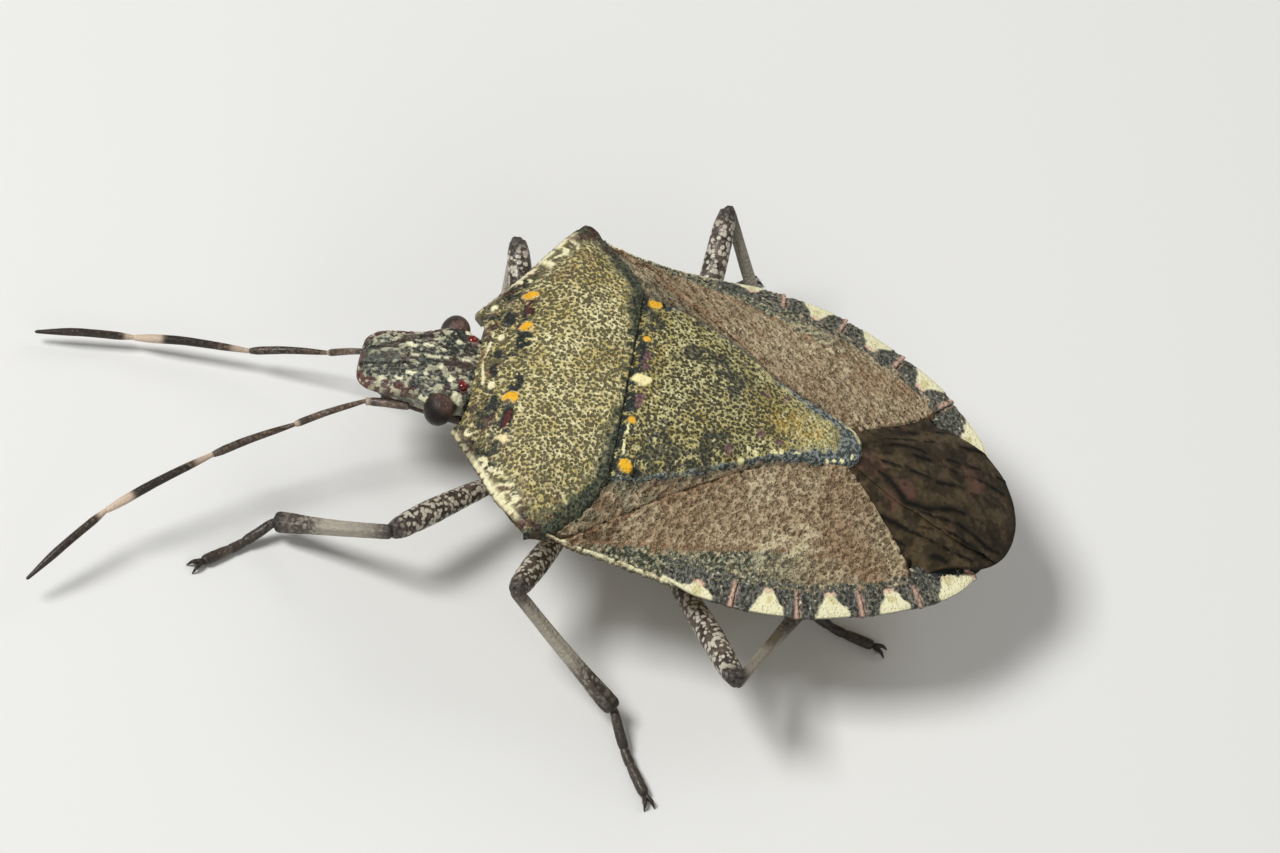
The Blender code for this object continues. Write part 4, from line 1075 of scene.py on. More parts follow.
@dataclass
class Corium(Plate):
    """The leathery part of a fore wing, with its suture, its veins and its pale border."""

    side: Side = Side.LEFT
    slot: str = "corium"
    finish: Shell = CORIUM
    cells: tuple[int, int] = (150, 320)
    pit_spacing: float = 0.12
    pit_sizes: tuple[float, float] = (0.22, 0.58)
    pit_depth: float = 0.055
    seed: int = 6
    sunk: float = 0.07
    front: Curve = Pronotum.rear
    scutellum: Curve = Scutellum.half_width
    front_x: tuple[float, float] = (2.45, 4.14)
    row_turn: tuple[float, float] = (0.74, 0.67)
    row_stretch: float = 0.5
    inner_end: float = 0.45
    rear: Curve = Curve((0.0, 10.84), (0.25, 11.6), (0.5, 12.2), (0.75, 12.6), (1.0, 12.78))
    suture: Curve = Curve((5.0, 3.98), (5.53, 3.61), (6.66, 2.78), (7.63, 2.11), (8.62, 1.4), (9.4, 0.9))
    vein: Curve = Curve((5.0, 4.0), (6.45, 3.67), (7.94, 3.37), (9.51, 2.92), (10.78, 2.62), (12.28, 2.18))

    def __post_init__(self) -> None:
        """Name the piece and its node after its side."""
        self.name = f"corium_plate_{self.side.word}"
        self.nodes = (f"corium_{self.side.word}",)
        self.outer = self.body.half_width_inside(lambda s: self.body.rim(s))

    def place(self, u: Array, v: Array) -> tuple[Array, Array]:
        """Return x and the station; the front and inner edges lie under their neighbours."""
        t = (u + 1) / 2
        front_inner, front_outer = self.front_x
        start = self.front(blend(front_inner, front_outer, t)) - 0.12 * (1 - t)
        s = blend(start, self.rear(t), v)
        inner = np.maximum(self.scutellum(s) - 0.12, self.inner_end)
        inner = blend(np.full_like(s, front_inner), inner, rise(0.0, 0.12, v))
        x = blend(inner, self.outer(s), t)
        return self.side.value * x, s

    def height(self, x: Array, s: Array, u: Array, v: Array) -> Array:
        """Return the height, with the suture sunk and the veins and edges raised."""
        ax = np.abs(x)
        t = (u + 1) / 2
        edge = self.outer(s) - ax
        z = self.body.back(x, s) - self.sunk
        z -= 0.05 * peak(ax - self.suture(s), 0.045) * rise(9.3, 8.6, s)
        z += 0.035 * peak(ax - self.suture(s) - 0.1, 0.045) * rise(9.3, 8.6, s)
        z += 0.03 * peak(ax - self.vein(s), 0.05) * rise(12.2, 10.5, s)
        z += 0.02 * peak(edge - 0.03, 0.04) - 0.03 * peak(edge - 0.14, 0.05)
        z -= 0.07 * peak(1 - v, 0.006) + 0.05 * peak(1 - t, 0.008)
        z += 0.025 * (Mottle(0.28, 31)(x * 0.8, s * 1.3) - 0.5)
        return z

    def pits(self, x: Array, s: Array) -> Array:
        """Return the pits' mask; they stand in rows along the suture."""
        along = self.row_turn[1] * s - self.row_turn[0] * np.abs(x)
        across = self.row_turn[1] * np.abs(x) + self.row_turn[0] * s
        return super().pits(across, along * self.row_stretch)

    def relief(self, x: Array, s: Array, marks: Marks) -> Array:
        """Return how deep each point lies: pits, and low knobs on the outer field."""
        return self.pits(x, s) * (1 - marks["ivory"]) - 0.5 * marks["ivory"] * marks["slate"]

    def marks(self, x: Array, s: Array, u: Array, v: Array) -> Marks:
        """Return the pits, the metallic outer field, the reddish lines, the pale edges and darker places, with
        painted shade in the sunk suture.
        """
        ax = np.abs(x)
        edge = self.outer(s) - ax
        fine, patches = Mottle(0.11, 32)(x, s), Mottle(0.5, 33)(x, s)
        beyond_vein = ax - self.vein(s)
        outer_field = rise(0.0, 0.14, beyond_vein + 0.1 * (fine - 0.5)) * rise(10.9, 9.0, s)
        slate = outer_field * rise(0.0, 0.3, fine)
        slate = np.maximum(slate, 0.6 * rise(0.3, 0.1, edge) * rise(0.3, 0.6, fine) * rise(12.3, 11.5, s))
        inner_edge = rise(0.16, 0.05, ax - self.scutellum(s) + 0.08 * (fine - 0.5)) * rise(10.4, 9.6, s)
        metal = 0.55 * inner_edge
        ivory = rise(0.06, 0.04, edge) * rise(0.0, 0.015, edge) * rise(8.4, 7.9, s) * rise(4.5, 4.9, s)
        ivory *= rise(0.1, 0.35, fine + 0.1)
        streaks = Mottle(0.2, 35)(x * 1.6 + s * 0.9, s * 0.5 - x * 0.5)
        ivory = np.maximum(ivory, 0.4 * rise(0.55, 0.8, streaks) * spot(ax, s, (2.75, 9.9), (0.5, 0.9), 0.6))
        ivory = np.maximum(ivory, 0.7 * spot(ax, s, (2.72, 10.05), (0.05, 0.13), 0.3) * rise(0.2, 0.4, fine))
        beads = 1 - rise(0.1, 0.34, Scatter(0.12, 34).nearest(x, s)[0])
        ivory = np.maximum(ivory, 0.45 * outer_field * beads)
        wine = 0.6 * peak(ax - self.suture(s) - 0.09, 0.04) * rise(9.2, 8.2, s) * rise(0.15, 0.4, fine + 0.1)
        wine = np.maximum(wine, 0.65 * peak(beyond_vein, 0.035) * rise(12.2, 11.2, s) * rise(0.1, 0.35, fine))
        reddish = 0.2 * rise(0.4, 0.8, Mottle(0.6, 36)(x, s)) * rise(0.35, 0.15, beyond_vein) * (1 - outer_field)
        reddish = np.maximum(reddish, 0.28 * spot(ax, s, (2.3, 11.3), (0.45, 0.9), -0.3))
        wine = np.maximum(wine, reddish)
        greenish = 0.5 * rise(0.03, -0.08, ax - self.suture(s)) * rise(8.6, 6.6, s)
        slate = np.maximum(slate, greenish * rise(0.15, 0.5, fine))
        # Darker places for the pit mark: darker towards the front, random patches, a dark spot at the base, painted
        # shade in the sunk suture and a dark strip along the rear edge.
        shade = 0.3 * rise(8.4, 5.4, s) + 0.16 * rise(0.45, 0.8, patches)
        shade = np.maximum(shade, 0.8 * spot(ax, s, (3.72, 5.75), (0.1, 0.35), 0.1) * rise(0.2, 0.5, fine))
        shade = np.maximum(shade, 0.9 * peak(ax - self.suture(s), 0.03) * rise(9.0, 8.3, s))
        shade = np.maximum(shade, 0.9 * rise(0.985, 0.995, v) * rise(0.1, 0.3, u))
        pit = np.maximum(self.pits(x, s) * 0.5 + 0.5 * shade, shade) * (1 - ivory)
        return {"pit": pit, "metal": metal * (1 - ivory), "slate": slate * (1 - ivory), "wine": wine,
                "ivory": ivory}


@dataclass
class Membrane(Plate):
    """The thin end of a fore wing; the right one lies over the left one."""

    side: Side = Side.RIGHT
    slot: str = "membrane"
    finish: Wing = Wing()
    cells: tuple[int, int] = (150, 170)
    thickness: float = 0.03
    tuck: float = 0.995
    inset: float = 0.98
    seed: int = 9
    reach: tuple[float, float] = (-1.0, 0.3)
    sunk: float = 0.12
    lift: float = 0.26
    base: Curve = Curve((0.0, 10.9), (0.5, 10.75), (0.8, 10.95), (1.3, 11.6), (1.8, 12.15), (2.2, 12.45))
    cover: Curve = Curve((0.0, 11.1), (0.3, 11.0), (0.45, 10.9), (1.11, 11.6), (1.62, 12.2), (2.08, 12.6),
                         (2.35, 12.75))
    rear_x: Curve = Curve((0.0, 0.0), (0.1, 0.28), (0.25, 0.67), (0.4, 1.03), (0.55, 1.33), (0.7, 1.55),
                          (0.82, 1.68), (0.9, 1.82), (1.0, 2.16))
    rear_s: Curve = Curve((0.0, 14.94), (0.1, 14.92), (0.25, 14.82), (0.4, 14.62), (0.55, 14.33),
                          (0.7, 13.98), (0.82, 13.62), (0.9, 13.3), (1.0, 12.75))
    seam: Curve = Curve((0.0, 0.14), (0.35, 0.4), (0.7, 0.46), (1.0, 0.42))
    veins: tuple[tuple[float, float, tuple[tuple[float, float], ...]], ...] = (
        (11.9, 12.3, ((-0.75, 11.3), (-0.99, 11.73), (-1.37, 12.46), (-1.75, 13.1), (-1.95, 13.6))),
        (13.3, 13.9, ((-0.5, 11.3), (-0.9, 12.2), (-1.3, 13.1), (-1.5, 13.7), (-1.6, 14.1))),
        (11.6, 12.1, ((-0.35, 11.3), (-0.58, 12.02), (-0.75, 12.9), (-0.95, 13.6), (-1.1, 14.17), (-1.15, 14.6))),
        (12.2, 12.7, ((-0.2, 11.4), (-0.4, 12.22), (-0.52, 12.66), (-0.55, 13.4), (-0.74, 13.94), (-0.8, 14.6))),
        (12.8, 13.3, ((0.0, 11.4), (0.03, 12.2), (0.0, 12.92), (-0.22, 13.4), (-0.3, 14.0), (-0.33, 14.8))),
        (11.5, 13.5, ((0.2, 11.25), (0.39, 11.63), (0.61, 11.94), (0.82, 12.23), (0.76, 12.72), (0.45, 13.3),
                      (0.3, 13.9), (0.15, 14.3), (0.1, 14.8))),
        (13.4, 14.7, ((0.93, 12.4), (0.85, 12.9), (0.7, 13.54), (0.76, 14.02), (0.84, 14.3), (0.78, 14.6))),
        (13.6, 14.3, ((1.2, 12.5), (1.1, 13.0), (1.0, 13.5), (1.05, 13.9), (1.1, 14.3))),
        (11.7, 12.3, ((1.2, 11.6), (1.25, 12.1), (1.38, 12.8), (1.4, 13.4), (1.35, 14.0))),
        (13.0, 13.4, ((1.6, 12.2), (1.66, 12.8), (1.65, 13.4))))

    def __post_init__(self) -> None:
        """Name the piece and its node after its side."""
        self.name = f"membrane_{self.side.word}_wing"
        self.nodes = (f"membrane_{self.side.word}",)

    def share(self, u: Array, v: Array) -> Array:
        """Return where across the wings' end a point lies, from -1 at the right to 1."""
        if self.side is Side.RIGHT:
            return blend(-1.0, self.seam(v), (u + 1) / 2)
        return blend(self.seam(v) - 0.5, 1.0, (u + 1) / 2)

    def place(self, u: Array, v: Array) -> tuple[Array, Array]:
        """Return x and the station, between the corium's end and the round rear edge."""
        share = self.share(u, v)
        side = np.abs(share)
        x = blend(2.2 * side, self.rear_x(side), v)
        s = blend(self.base(2.2 * side), self.rear_s(side), v)
        return np.sign(share) * x, s

    def height(self, x: Array, s: Array, u: Array, v: Array) -> Array:
        """Return the height, with the veins raised and a light wave between them."""
        share = self.share(u, v)
        veins = np.maximum.reduce([peak(distance_to(x, s, line), 0.03) for _, _, line in self.veins])
        beyond = s - self.cover(np.abs(x))
        lift = self.lift * rise(0.0, 1.3, beyond) * rise(-0.1, 0.25, 2.25 - np.abs(x))
        z = self.body.back(x, s) - self.sunk + lift + 0.025 * veins
        z -= 0.16 * rise(0.72, 0.98, np.abs(share)) * rise(0.15, 0.5, v)
        z += 0.03 * (Mottle(0.6, 41)(x, s) - 0.5) - 0.02 * peak(1 - v, 0.02)
        if self.side is Side.LEFT:
            z -= 0.04
        else:
            z += 0.02 * peak(self.seam(v) - share, 0.02)
        return z

    def marks(self, x: Array, s: Array, u: Array, v: Array) -> Marks:
        """Return the blackish streaks along the veins."""
        broken = Mottle(0.3, 42)(x * 1.5, s)
        streak = 0.6 * rise(0.45, 0.8, Mottle(0.22, 43)(x, s))
        for low, high, line in self.veins:
            away = distance_to(x, s, line) + 0.03 * (Mottle(0.1, 44)(x, s) - 0.5)
            bold = rise(low - 0.15, low + 0.1, s) * rise(high + 0.15, high - 0.1, s)
            streak = np.maximum(streak, peak(away, 0.06) * rise(0.3, 0.55, broken))
            streak = np.maximum(streak, peak(away, 0.1) * bold)
        streak = np.maximum(streak, 0.7 * rise(0.94, 0.99, v))
        return {"streak": streak}


@dataclass
class RimSegment(Plate):
    """One segment of the abdomen's rim: black, with an ivory patch at the edge."""

    side: Side = Side.LEFT
    number: int = 3
    ends: tuple[float, float] = (7.4, 8.9)
    slot: str = "rim"
    finish: Shell = RIM
    cells: tuple[int, int] = (28, 64)
    thickness: float = 0.09
    width: float = 0.85
    pit_spacing: float = 0.085
    tooth: float = 0.04
    patch_middle: float = 0.5
    seed: int = 14

    def __post_init__(self) -> None:
        """Name the segment after its number and side."""
        self.name = f"rim_{self.side.word}_{self.number}"
        self.edge = self.body.outline(lambda s: np.zeros_like(s))
        self.inner = self.body.outline(lambda s: np.full_like(s, self.width))

    def place(self, u: Array, v: Array) -> tuple[Array, Array]:
        """Return x and the station; the outer edge bulges and ends in a small tooth."""
        t = (u + 1) / 2
        at = np.interp(blend(*self.ends, v), self.edge[:, 1], np.arange(len(self.edge)))
        points = np.arange(len(self.edge))
        edge = [np.interp(at, points, self.edge[:, i]) for i in (0, 1)]
        inner = [np.interp(at, points, self.inner[:, i]) for i in (0, 1)]
        bulge = 1 + (0.02 * np.sin(math.pi * v) + self.tooth * peak(1 - v, 0.06)) / self.width
        if self.number == 3:
            bulge = bulge - 0.1 * rise(0.6, 0.0, v) / self.width
        x, s = (blend(low, high, t * blend(1.0, bulge, t)) for low, high in zip(inner, edge))
        return self.side.value * x, s

    def height(self, x: Array, s: Array, u: Array, v: Array) -> Array:
        """Return the height, with the segment's ends sunk and its edge thin."""
        t = (u + 1) / 2
        z = self.body.back(x, s) - 0.17 * (1 - t) + 0.035 * np.sin(math.pi * t)
        z -= 0.035 * peak(v, 0.025) + 0.02 * peak(1 - v, 0.012) + 0.03 * peak(1 - t, 0.04)
        return z + 0.03 * v - 0.2 * rise(12.6, 13.5, s) * (1 - 0.6 * t)

    def marks(self, x: Array, s: Array, u: Array, v: Array) -> Marks:
        """Return the ivory patch, the pale line at the seam and the pits."""
        t = (u + 1) / 2
        fine = Mottle(0.12, 51)(x, s)
        centre, length = self.patch_middle, self.ends[1] - self.ends[0]
        first = self.number == 3
        half = blend(0.04 if first else 0.1, 0.35, rise(0.66 if first else 0.45, 1.0, t))
        ivory = 1 - rise(-0.03, 0.03, (np.abs(v - centre) * length - half + 0.07 * (fine - 0.5)))
        low = 0.66 if first else 0.4
        ivory *= rise(low, low + 0.07, t + 0.08 * (fine - 0.5))
        away = (v - centre) * length
        apex = spot(t, away, (low + 0.08, 0.0), (0.08, 0.13))
        blotch = spot(t, away, (low + 0.26, 0.0), (0.14, 0.1)) * rise(0.15, 0.5, fine)
        line = np.maximum(0.4 * peak(v * length - 0.035, 0.025), peak((1 - v) * length - 0.055, 0.045))
        line = line * rise(0.3, 0.55, t) * (rise(0.4, 0.6, v) if first else 1.0)
        if first:
            ivory = np.maximum(ivory, rise(0.92, 0.96, t) * rise(centre, centre - 0.1, v))
        line, ivory = np.maximum(line * rise(0.3, 0.5, fine + 0.3), apex), ivory * (1 - 0.5 * apex)
        return {"pit": self.pits(x, s) * (1 - ivory), "ivory": ivory, "orange": blotch * 0.6, "wine": line,
                "slate": 0.7 * (1 - ivory) * rise(0.3, 0.6, fine)}


@dataclass
class Rim:
    """The abdomen's rim on one side, of five segments joined end to end."""

    body: Body
    side: Side
    seams: tuple[float, ...] = (7.3, 8.93, 10.41, 11.83, 13.09, 14.22)
    patch_middles: dict[int, float] = field(default_factory=lambda: {3: 0.5, 7: 0.64})

    def build(self) -> bpy.types.Object:
        """Build the segments and join them into one piece."""
        segments = []
        for number, ends in enumerate(zip(self.seams[:-1], self.seams[1:]), start=3):
            segment = RimSegment(self.body, side=self.side, number=number, ends=ends, seed=10 + number,
                                 patch_middle=self.patch_middles.get(number, 0.52))
            segments.append(segment.build())
        rim = join(segments, f"rim_{self.side.word}")
        return finish_piece(rim, RIM.material(), (f"connexivum_{self.side.word}",))


@dataclass
class Hull:
    """A closed piece turned round a length of the body, drawn together at both ends."""

    body: Body
    name: str = "hull"
    slot: str = "underside"
    nodes: tuple[str, ...] = ()
    finish: Shell = UNDERSIDE
    sides: int = 200
    rings: int = 200
    caps: tuple[float, float] = (0.03, 0.03)
    edge_lift: float = 0.01

    def ring(self, angle: Array, share: Array) -> tuple[Array, Array, Array]:
        """Return x, the station and the height of each point of the rings."""
        raise NotImplementedError

    def marks(self, x: Array, s: Array, z: Array, angle: Array) -> Marks:
        """Return the masks of the piece's markings."""
        raise NotImplementedError

    def middle(self, s: Array) -> Array:
        """Return the height of the line to which the ends are drawn."""
        raise NotImplementedError

    def build(self) -> bpy.types.Object:
        """Build, paint and dress the piece."""
        tube = add_tube(self.name, self.sides, self.rings)
        cx, cy, share = vertices_of(tube).T
        angle = np.arctan2(cy, cx)
        x, s, z = self.ring(angle, share)
        z = z + self.edge_lift * np.sin(angle)
        drawn = np.minimum(cap_factor(share, self.caps[0]), cap_factor(1 - share, self.caps[1]))
        middle = self.middle(s)
        x, z = x * drawn, middle + (z - middle) * drawn
        marks = self.marks(x, s, z, angle)
        move_vertices(tube, self.body.to_world(np.column_stack((x, s, z))))
        paint(tube, marks)
        close_poles(tube)
        return finish_piece(tube, self.finish.material(), self.nodes)


def cap_factor(share: Array, length: float) -> Array:
    """Return the radius factor of a round end that takes up a share of the length."""
    return np.sqrt(clamp(1 - (1 - clamp(share / length)) ** 2))


@dataclass
class Trunk(Hull):
    """The underside of the thorax and abdomen, in one skin."""

    name: str = "underside"
    nodes: tuple[str, ...] = ("thorax", "abdomen")
    sides: int = 260
    rings: int = 300
    caps: tuple[float, float] = (0.012, 0.012)
    front: float = 2.42
    rear: float = 14.58
    edge_inset: float = 0.12
    under_back: float = 0.3
    sternites: tuple[float, ...] = (7.45, 8.93, 10.41, 11.83, 13.09)
    pleura: tuple[float, ...] = (4.72, 6.35)
    hips: tuple[tuple[float, float], ...] = ((0.95, 3.95), (1.25, 5.6), (1.6, 7.3))

    def middle(self, s: Array) -> Array:
        """Return the height of the line to which the ends are drawn."""
        return (self.body.belly_midline(s) + self.body.edge_height(s)) / 2

    def ring(self, angle: Array, share: Array) -> tuple[Array, Array, Array]:
        """Return the section: the belly below, and above it a roof hidden by the plates."""
        s = blend(self.front, self.rear, share)
        half = self.body.half_width(s) - self.edge_inset * rise(14.5, 14.0, s)
        across = np.sign(np.cos(angle)) * np.abs(np.cos(angle)) ** 0.85
        x = half * across
        under = np.sin(angle) < 0
        edge = self.body.edge_height(s) - self.body.belly_edge_drop
        floor = blend(self.body.belly_midline(s), edge, np.abs(across) ** self.body.belly_roundness)
        under_back = blend(self.under_back, 0.2, rise(12.4, 13.2, s)) - 0.08 * rise(13.4, 14.2, s)
        roof = blend(edge, self.body.back(x, s) - under_back, rise(0.0, 0.5, np.sin(angle)))
        z = np.where(under, floor + self.relief(x, s, np.abs(across)), roof)
        return x, s, z

    def relief(self, x: Array, s: Array, side: Array) -> Array:
        """Return the seams and swellings of the underside."""
        ax = np.abs(x)
        z = 0.02 * (Mottle(0.5, 61)(x, s) - 0.5)
        for seam in self.sternites:
            z += 0.05 * peak(s - seam + 0.3 * side ** 2 - 0.15, 0.05)
        for seam in self.pleura:
            z += 0.06 * peak(s - seam - 0.25 * side, 0.05)
        for hip in self.hips:
            away = np.hypot(ax - hip[0], s - hip[1])
            z += 0.12 * peak(away, 0.3) - 0.08 * peak(away - 0.48, 0.09)
        return z + 0.16 * peak(ax, 0.28) * rise(7.4, 6.4, s)

    def marks(self, x: Array, s: Array, z: Array, angle: Array) -> Marks:
        """Return the pits of the thorax, the breathing holes and the dark edge spots."""
        ax, side = np.abs(x), self.body.across(x, s)
        distance, number = Scatter(0.17, 62).nearest(x, s)
        pit = (1 - rise(0.18, 0.34, distance)) * rise(0.3, 0.5, number)
        pit *= blend(1.0, rise(0.5, 0.9, side), rise(6.6, 7.6, s))
        metal = np.zeros_like(x)
        for seam in self.sternites:
            metal = np.maximum(metal, spot(side, s, (0.97, seam - 0.1), (0.06, 0.22)))
            metal = np.maximum(metal, spot(side, s, (0.78, seam + 0.6), (0.025, 0.07)))
        seams = sum(peak(s - seam - 0.25 * side, 0.05) for seam in self.pleura)
        roof = rise(0.1, 0.3, np.sin(angle))
        return {"pit": pit, "metal": np.maximum(metal, roof), "wine": 0.25 * clamp(seams) * (1 - roof),
                "ivory": 0.35 * rise(0.85, 0.95, side) * (1 - roof)}


@dataclass
class Head(Hull):
    """The head, with its clypeus, side plates, brow and bucculae."""

    name: str = "head_capsule"
    slot: str = "head"
    nodes: tuple[str, ...] = ("head",)
    finish: Shell = HEAD
    sides: int = 340
    rings: int = 190
    caps: tuple[float, float] = (0.02, 0.02)
    rear: float = 2.75
    half_width: Curve = Curve((0.0, 0.36), (0.05, 0.53), (0.15, 0.67), (0.35, 0.78), (0.7, 0.83),
                              (1.1, 0.84), (1.4, 0.91), (1.65, 1.02), (1.9, 1.1), (2.1, 1.06),
                              (2.35, 0.97), (2.75, 0.85))
    top: Curve = Curve((0.0, -0.47), (0.12, -0.36), (0.5, -0.17), (1.0, 0.05), (1.5, 0.21), (2.2, 0.38),
                       (2.75, 0.42))
    side: Curve = Curve((0.0, -0.56), (0.6, -0.42), (1.2, -0.28), (1.6, -0.18), (1.9, -0.12), (2.2, -0.16),
                        (2.75, -0.2))
    bottom: Curve = Curve((0.0, -0.85), (0.3, -1.02), (0.9, -1.22), (2.2, -1.35), (2.75, -1.3))
    clypeus: Curve = Curve((0.0, 0.2), (0.5, 0.23), (1.0, 0.2), (1.35, 0.12))
    clypeus_end: float = 1.4
    ocellus: tuple[float, float] = (0.63, 2.27)
    cream: tuple[tuple[float, float, float, float, float], ...] = (
        (-0.31, 1.0, 0.06, 0.13, 1.0), (-0.31, 1.36, 0.06, 0.13, 1.0), (-0.5, 0.66, 0.09, 0.06, 0.6),
        (-0.4, 0.38, 0.06, 0.05, 0.5), (0.44, 1.13, 0.05, 0.11, 1.0), (0.56, 0.88, 0.05, 0.1, 0.9),
        (0.57, 0.54, 0.06, 0.1, 0.8), (0.44, 1.43, 0.05, 0.06, 0.8), (0.23, 1.78, 0.05, 0.09, 0.8),
        (0.52, 2.0, 0.07, 0.09, 1.0), (0.22, 2.52, 0.05, 0.08, 0.8), (0.95, 1.5, 0.05, 0.14, 0.9),
        (-0.49, 2.01, 0.07, 0.1, 0.8), (0.78, 1.76, 0.1, 0.12, 0.5), (-0.95, 1.5, 0.05, 0.14, 0.9),
        (-0.78, 1.72, 0.08, 0.1, 0.5), (-0.22, 2.5, 0.05, 0.08, 0.8), (-0.22, 1.7, 0.04, 0.08, 0.7),
        (0.88, 2.21, 0.1, 0.11, 1.0), (-0.88, 2.19, 0.1, 0.11, 1.0), (-0.55, 1.55, 0.05, 0.08, 0.6))
    dark_spots: tuple[tuple[float, float, float, float], ...] = (
        (0.62, 1.5, 0.1, 0.1), (0.62, 2.52, 0.17, 0.1), (-0.62, 2.55, 0.17, 0.1), (-0.36, 1.72, 0.12, 0.14),
        (0.74, 1.22, 0.1, 0.14), (0.3, 1.62, 0.1, 0.1), (-0.62, 1.3, 0.1, 0.2))
    rim_width: float = 0.1

    def middle(self, s: Array) -> Array:
        """Return the height of the line to which the ends are drawn."""
        return self.side(s) - 0.05

    def ring(self, angle: Array, share: Array) -> tuple[Array, Array, Array]:
        """Return the section: a full rounded top over a thin side edge and a keel below."""
        s = self.rear * share ** 1.15
        over = np.sin(angle) >= 0
        width_power, height_power = np.where(over, 0.8, 1.7), np.where(over, 0.9, 1.4)
        across = np.sign(np.cos(angle)) * np.abs(np.cos(angle)) ** width_power
        x = self.half_width(s) * across
        limit = np.where(over, self.top(s), self.bottom(s))
        z = blend(self.side(s), limit, np.abs(np.sin(angle)) ** height_power)
        return x, s, z + np.where(over, self.brow(x, s, np.abs(across)), self.keel(x, s))

    def brow(self, x: Array, s: Array, side: Array) -> Array:
        """Return the relief of the top: clypeus, grooves, side plates, ocelli and pits."""
        ax = np.abs(x)
        ahead = rise(self.clypeus_end, self.clypeus_end - 0.5, s)
        z = -0.07 * peak(ax - self.clypeus(s), 0.035) * ahead
        z += 0.03 * peak(ax, 0.17) * ahead
        z -= 0.03 * spot(ax, s, (0.6, 0.75), (0.22, 0.5))
        z += 0.04 * peak(side - 0.97, 0.04) * rise(1.7, 1.2, s)
        z += 0.05 * peak(ax - 0.86, 0.1) * rise(1.2, 1.5, s) * rise(2.4, 2.1, s)
        z += 0.03 * spot(ax, s, self.ocellus, (0.16, 0.15))
        z -= 0.03 * peak(ax - 0.33, 0.05) * rise(1.5, 1.7, s)
        z += 0.025 * (Mottle(0.2, 71)(x, s * 1.4) - 0.5)
        return z - 0.02 * self.pits(x, s) + 0.018 * self.tubercles(x, s)

    def keel(self, x: Array, s: Array) -> Array:
        """Return the relief of the underside: the two ridges that hold the beak."""
        ridge = peak(np.abs(x) - 0.24, 0.06) * rise(0.3, 1.1, s) * rise(2.4, 1.7, s)
        return 0.1 * peak(x, 0.15) * rise(0.5, 0.8, s) - 0.26 * ridge

    def pits(self, x: Array, s: Array) -> Array:
        """Return the pits' mask."""
        distance, number = Scatter(0.075, 72).nearest(x, s)
        size = blend(0.28, 0.62, number)
        plain = np.maximum(spot(np.abs(x), s, self.ocellus, (0.15, 0.14)), 0.6 * spot(x, s, (0.0, 0.5), (0.3, 0.35)))
        return (1 - rise(size - 0.1, size + 0.1, distance)) * (1 - plain)

    def tubercles(self, x: Array, s: Array) -> Array:
        """Return the mask of the small pale grains between the pits."""
        return rise(0.68, 0.86, Mottle(0.11, 76)(x * 1.2, s * 0.9)) * rise(0.12, 0.25, s)

    def marks(self, x: Array, s: Array, z: Array, angle: Array) -> Marks:
        """Return the pale lines and dots, the maroon edges and the dark patches."""
        ax = np.abs(x)
        over = np.sin(angle) > 0.05
        fine, patches = Mottle(0.09, 73)(x, s), Mottle(0.28, 74)(x, s)
        midline = peak(x + 0.01, 0.035) * rise(0.85, 0.95, s) * rise(0.18, 0.36, fine)
        ivory = np.maximum(midline * rise(2.75, 2.6, s), 0.4 * self.tubercles(x, s))
        for cx, cs, rx, rs, strength in self.cream:
            shape = spot(x + 0.07 * (fine - 0.5), s + 0.06 * (patches - 0.5), (cx, cs), (rx * 0.9, rs * 0.95))
            ivory = np.maximum(ivory, strength * shape * over)
        edge = self.half_width(s) - ax + 0.05 * (fine - 0.5)
        wine = rise(self.rim_width + 0.04, self.rim_width - 0.02, edge) * rise(1.5, 1.2, s)
        front_side = rise(0.24, 0.16, edge + 0.1 * (patches - 0.5)) * rise(1.35, 0.9, s) * over
        wine = np.maximum(wine, 0.9 * front_side * rise(0.25, 0.45, fine))
        wine = np.maximum(wine, 0.85 * spot(ax, s, self.ocellus, (0.2, 0.18)) * rise(0.2, 0.4, fine))
        ivory = np.maximum(ivory, 0.5 * front_side * rise(0.8, 0.9, Mottle(0.09, 77)(x, s)))
        wine = np.maximum(wine, 0.7 * rise(0.1, 0.04, s)) * rise(-0.3, 0.0, np.sin(angle))
        wine *= blend(0.6, 1.0, rise(0.2, 0.5, patches))
        wine = np.maximum(wine, 0.3 * rise(0.62, 0.8, patches)) * (1 - 0.8 * ivory)
        metal = 0.8 * rise(0.4, 0.65, Mottle(0.3, 75)(x, s)) * rise(1.5, 1.9, s)
        for cx, cs, rx, rs in self.dark_spots:
            metal = np.maximum(metal, spot(x + 0.06 * (fine - 0.5), s, (cx, cs), (rx, rs)) * over)
        metal = np.maximum(metal, 0.8 * peak(ax - self.clypeus(s), 0.04) * rise(1.4, 1.1, s))
        metal = np.maximum(metal, 0.7 * peak(ax - 0.1, 0.03) * rise(0.8, 1.0, s) * rise(1.8, 1.5, s))
        metal = np.maximum(metal, (0.4 + 0.25 * rise(0.9, 0.3, s)) * rise(0.4, 0.7, patches))
        slate = 0.6 * spot(x, s, (0.0, 0.45), (0.3, 0.4)) * over
        return {"pit": np.where(over, self.pits(x, s), 0.45) * (1 - ivory), "metal": metal * (1 - ivory),
                "slate": slate * (1 - ivory), "wine": wine * (1 - 0.7 * ivory), "ivory": ivory}


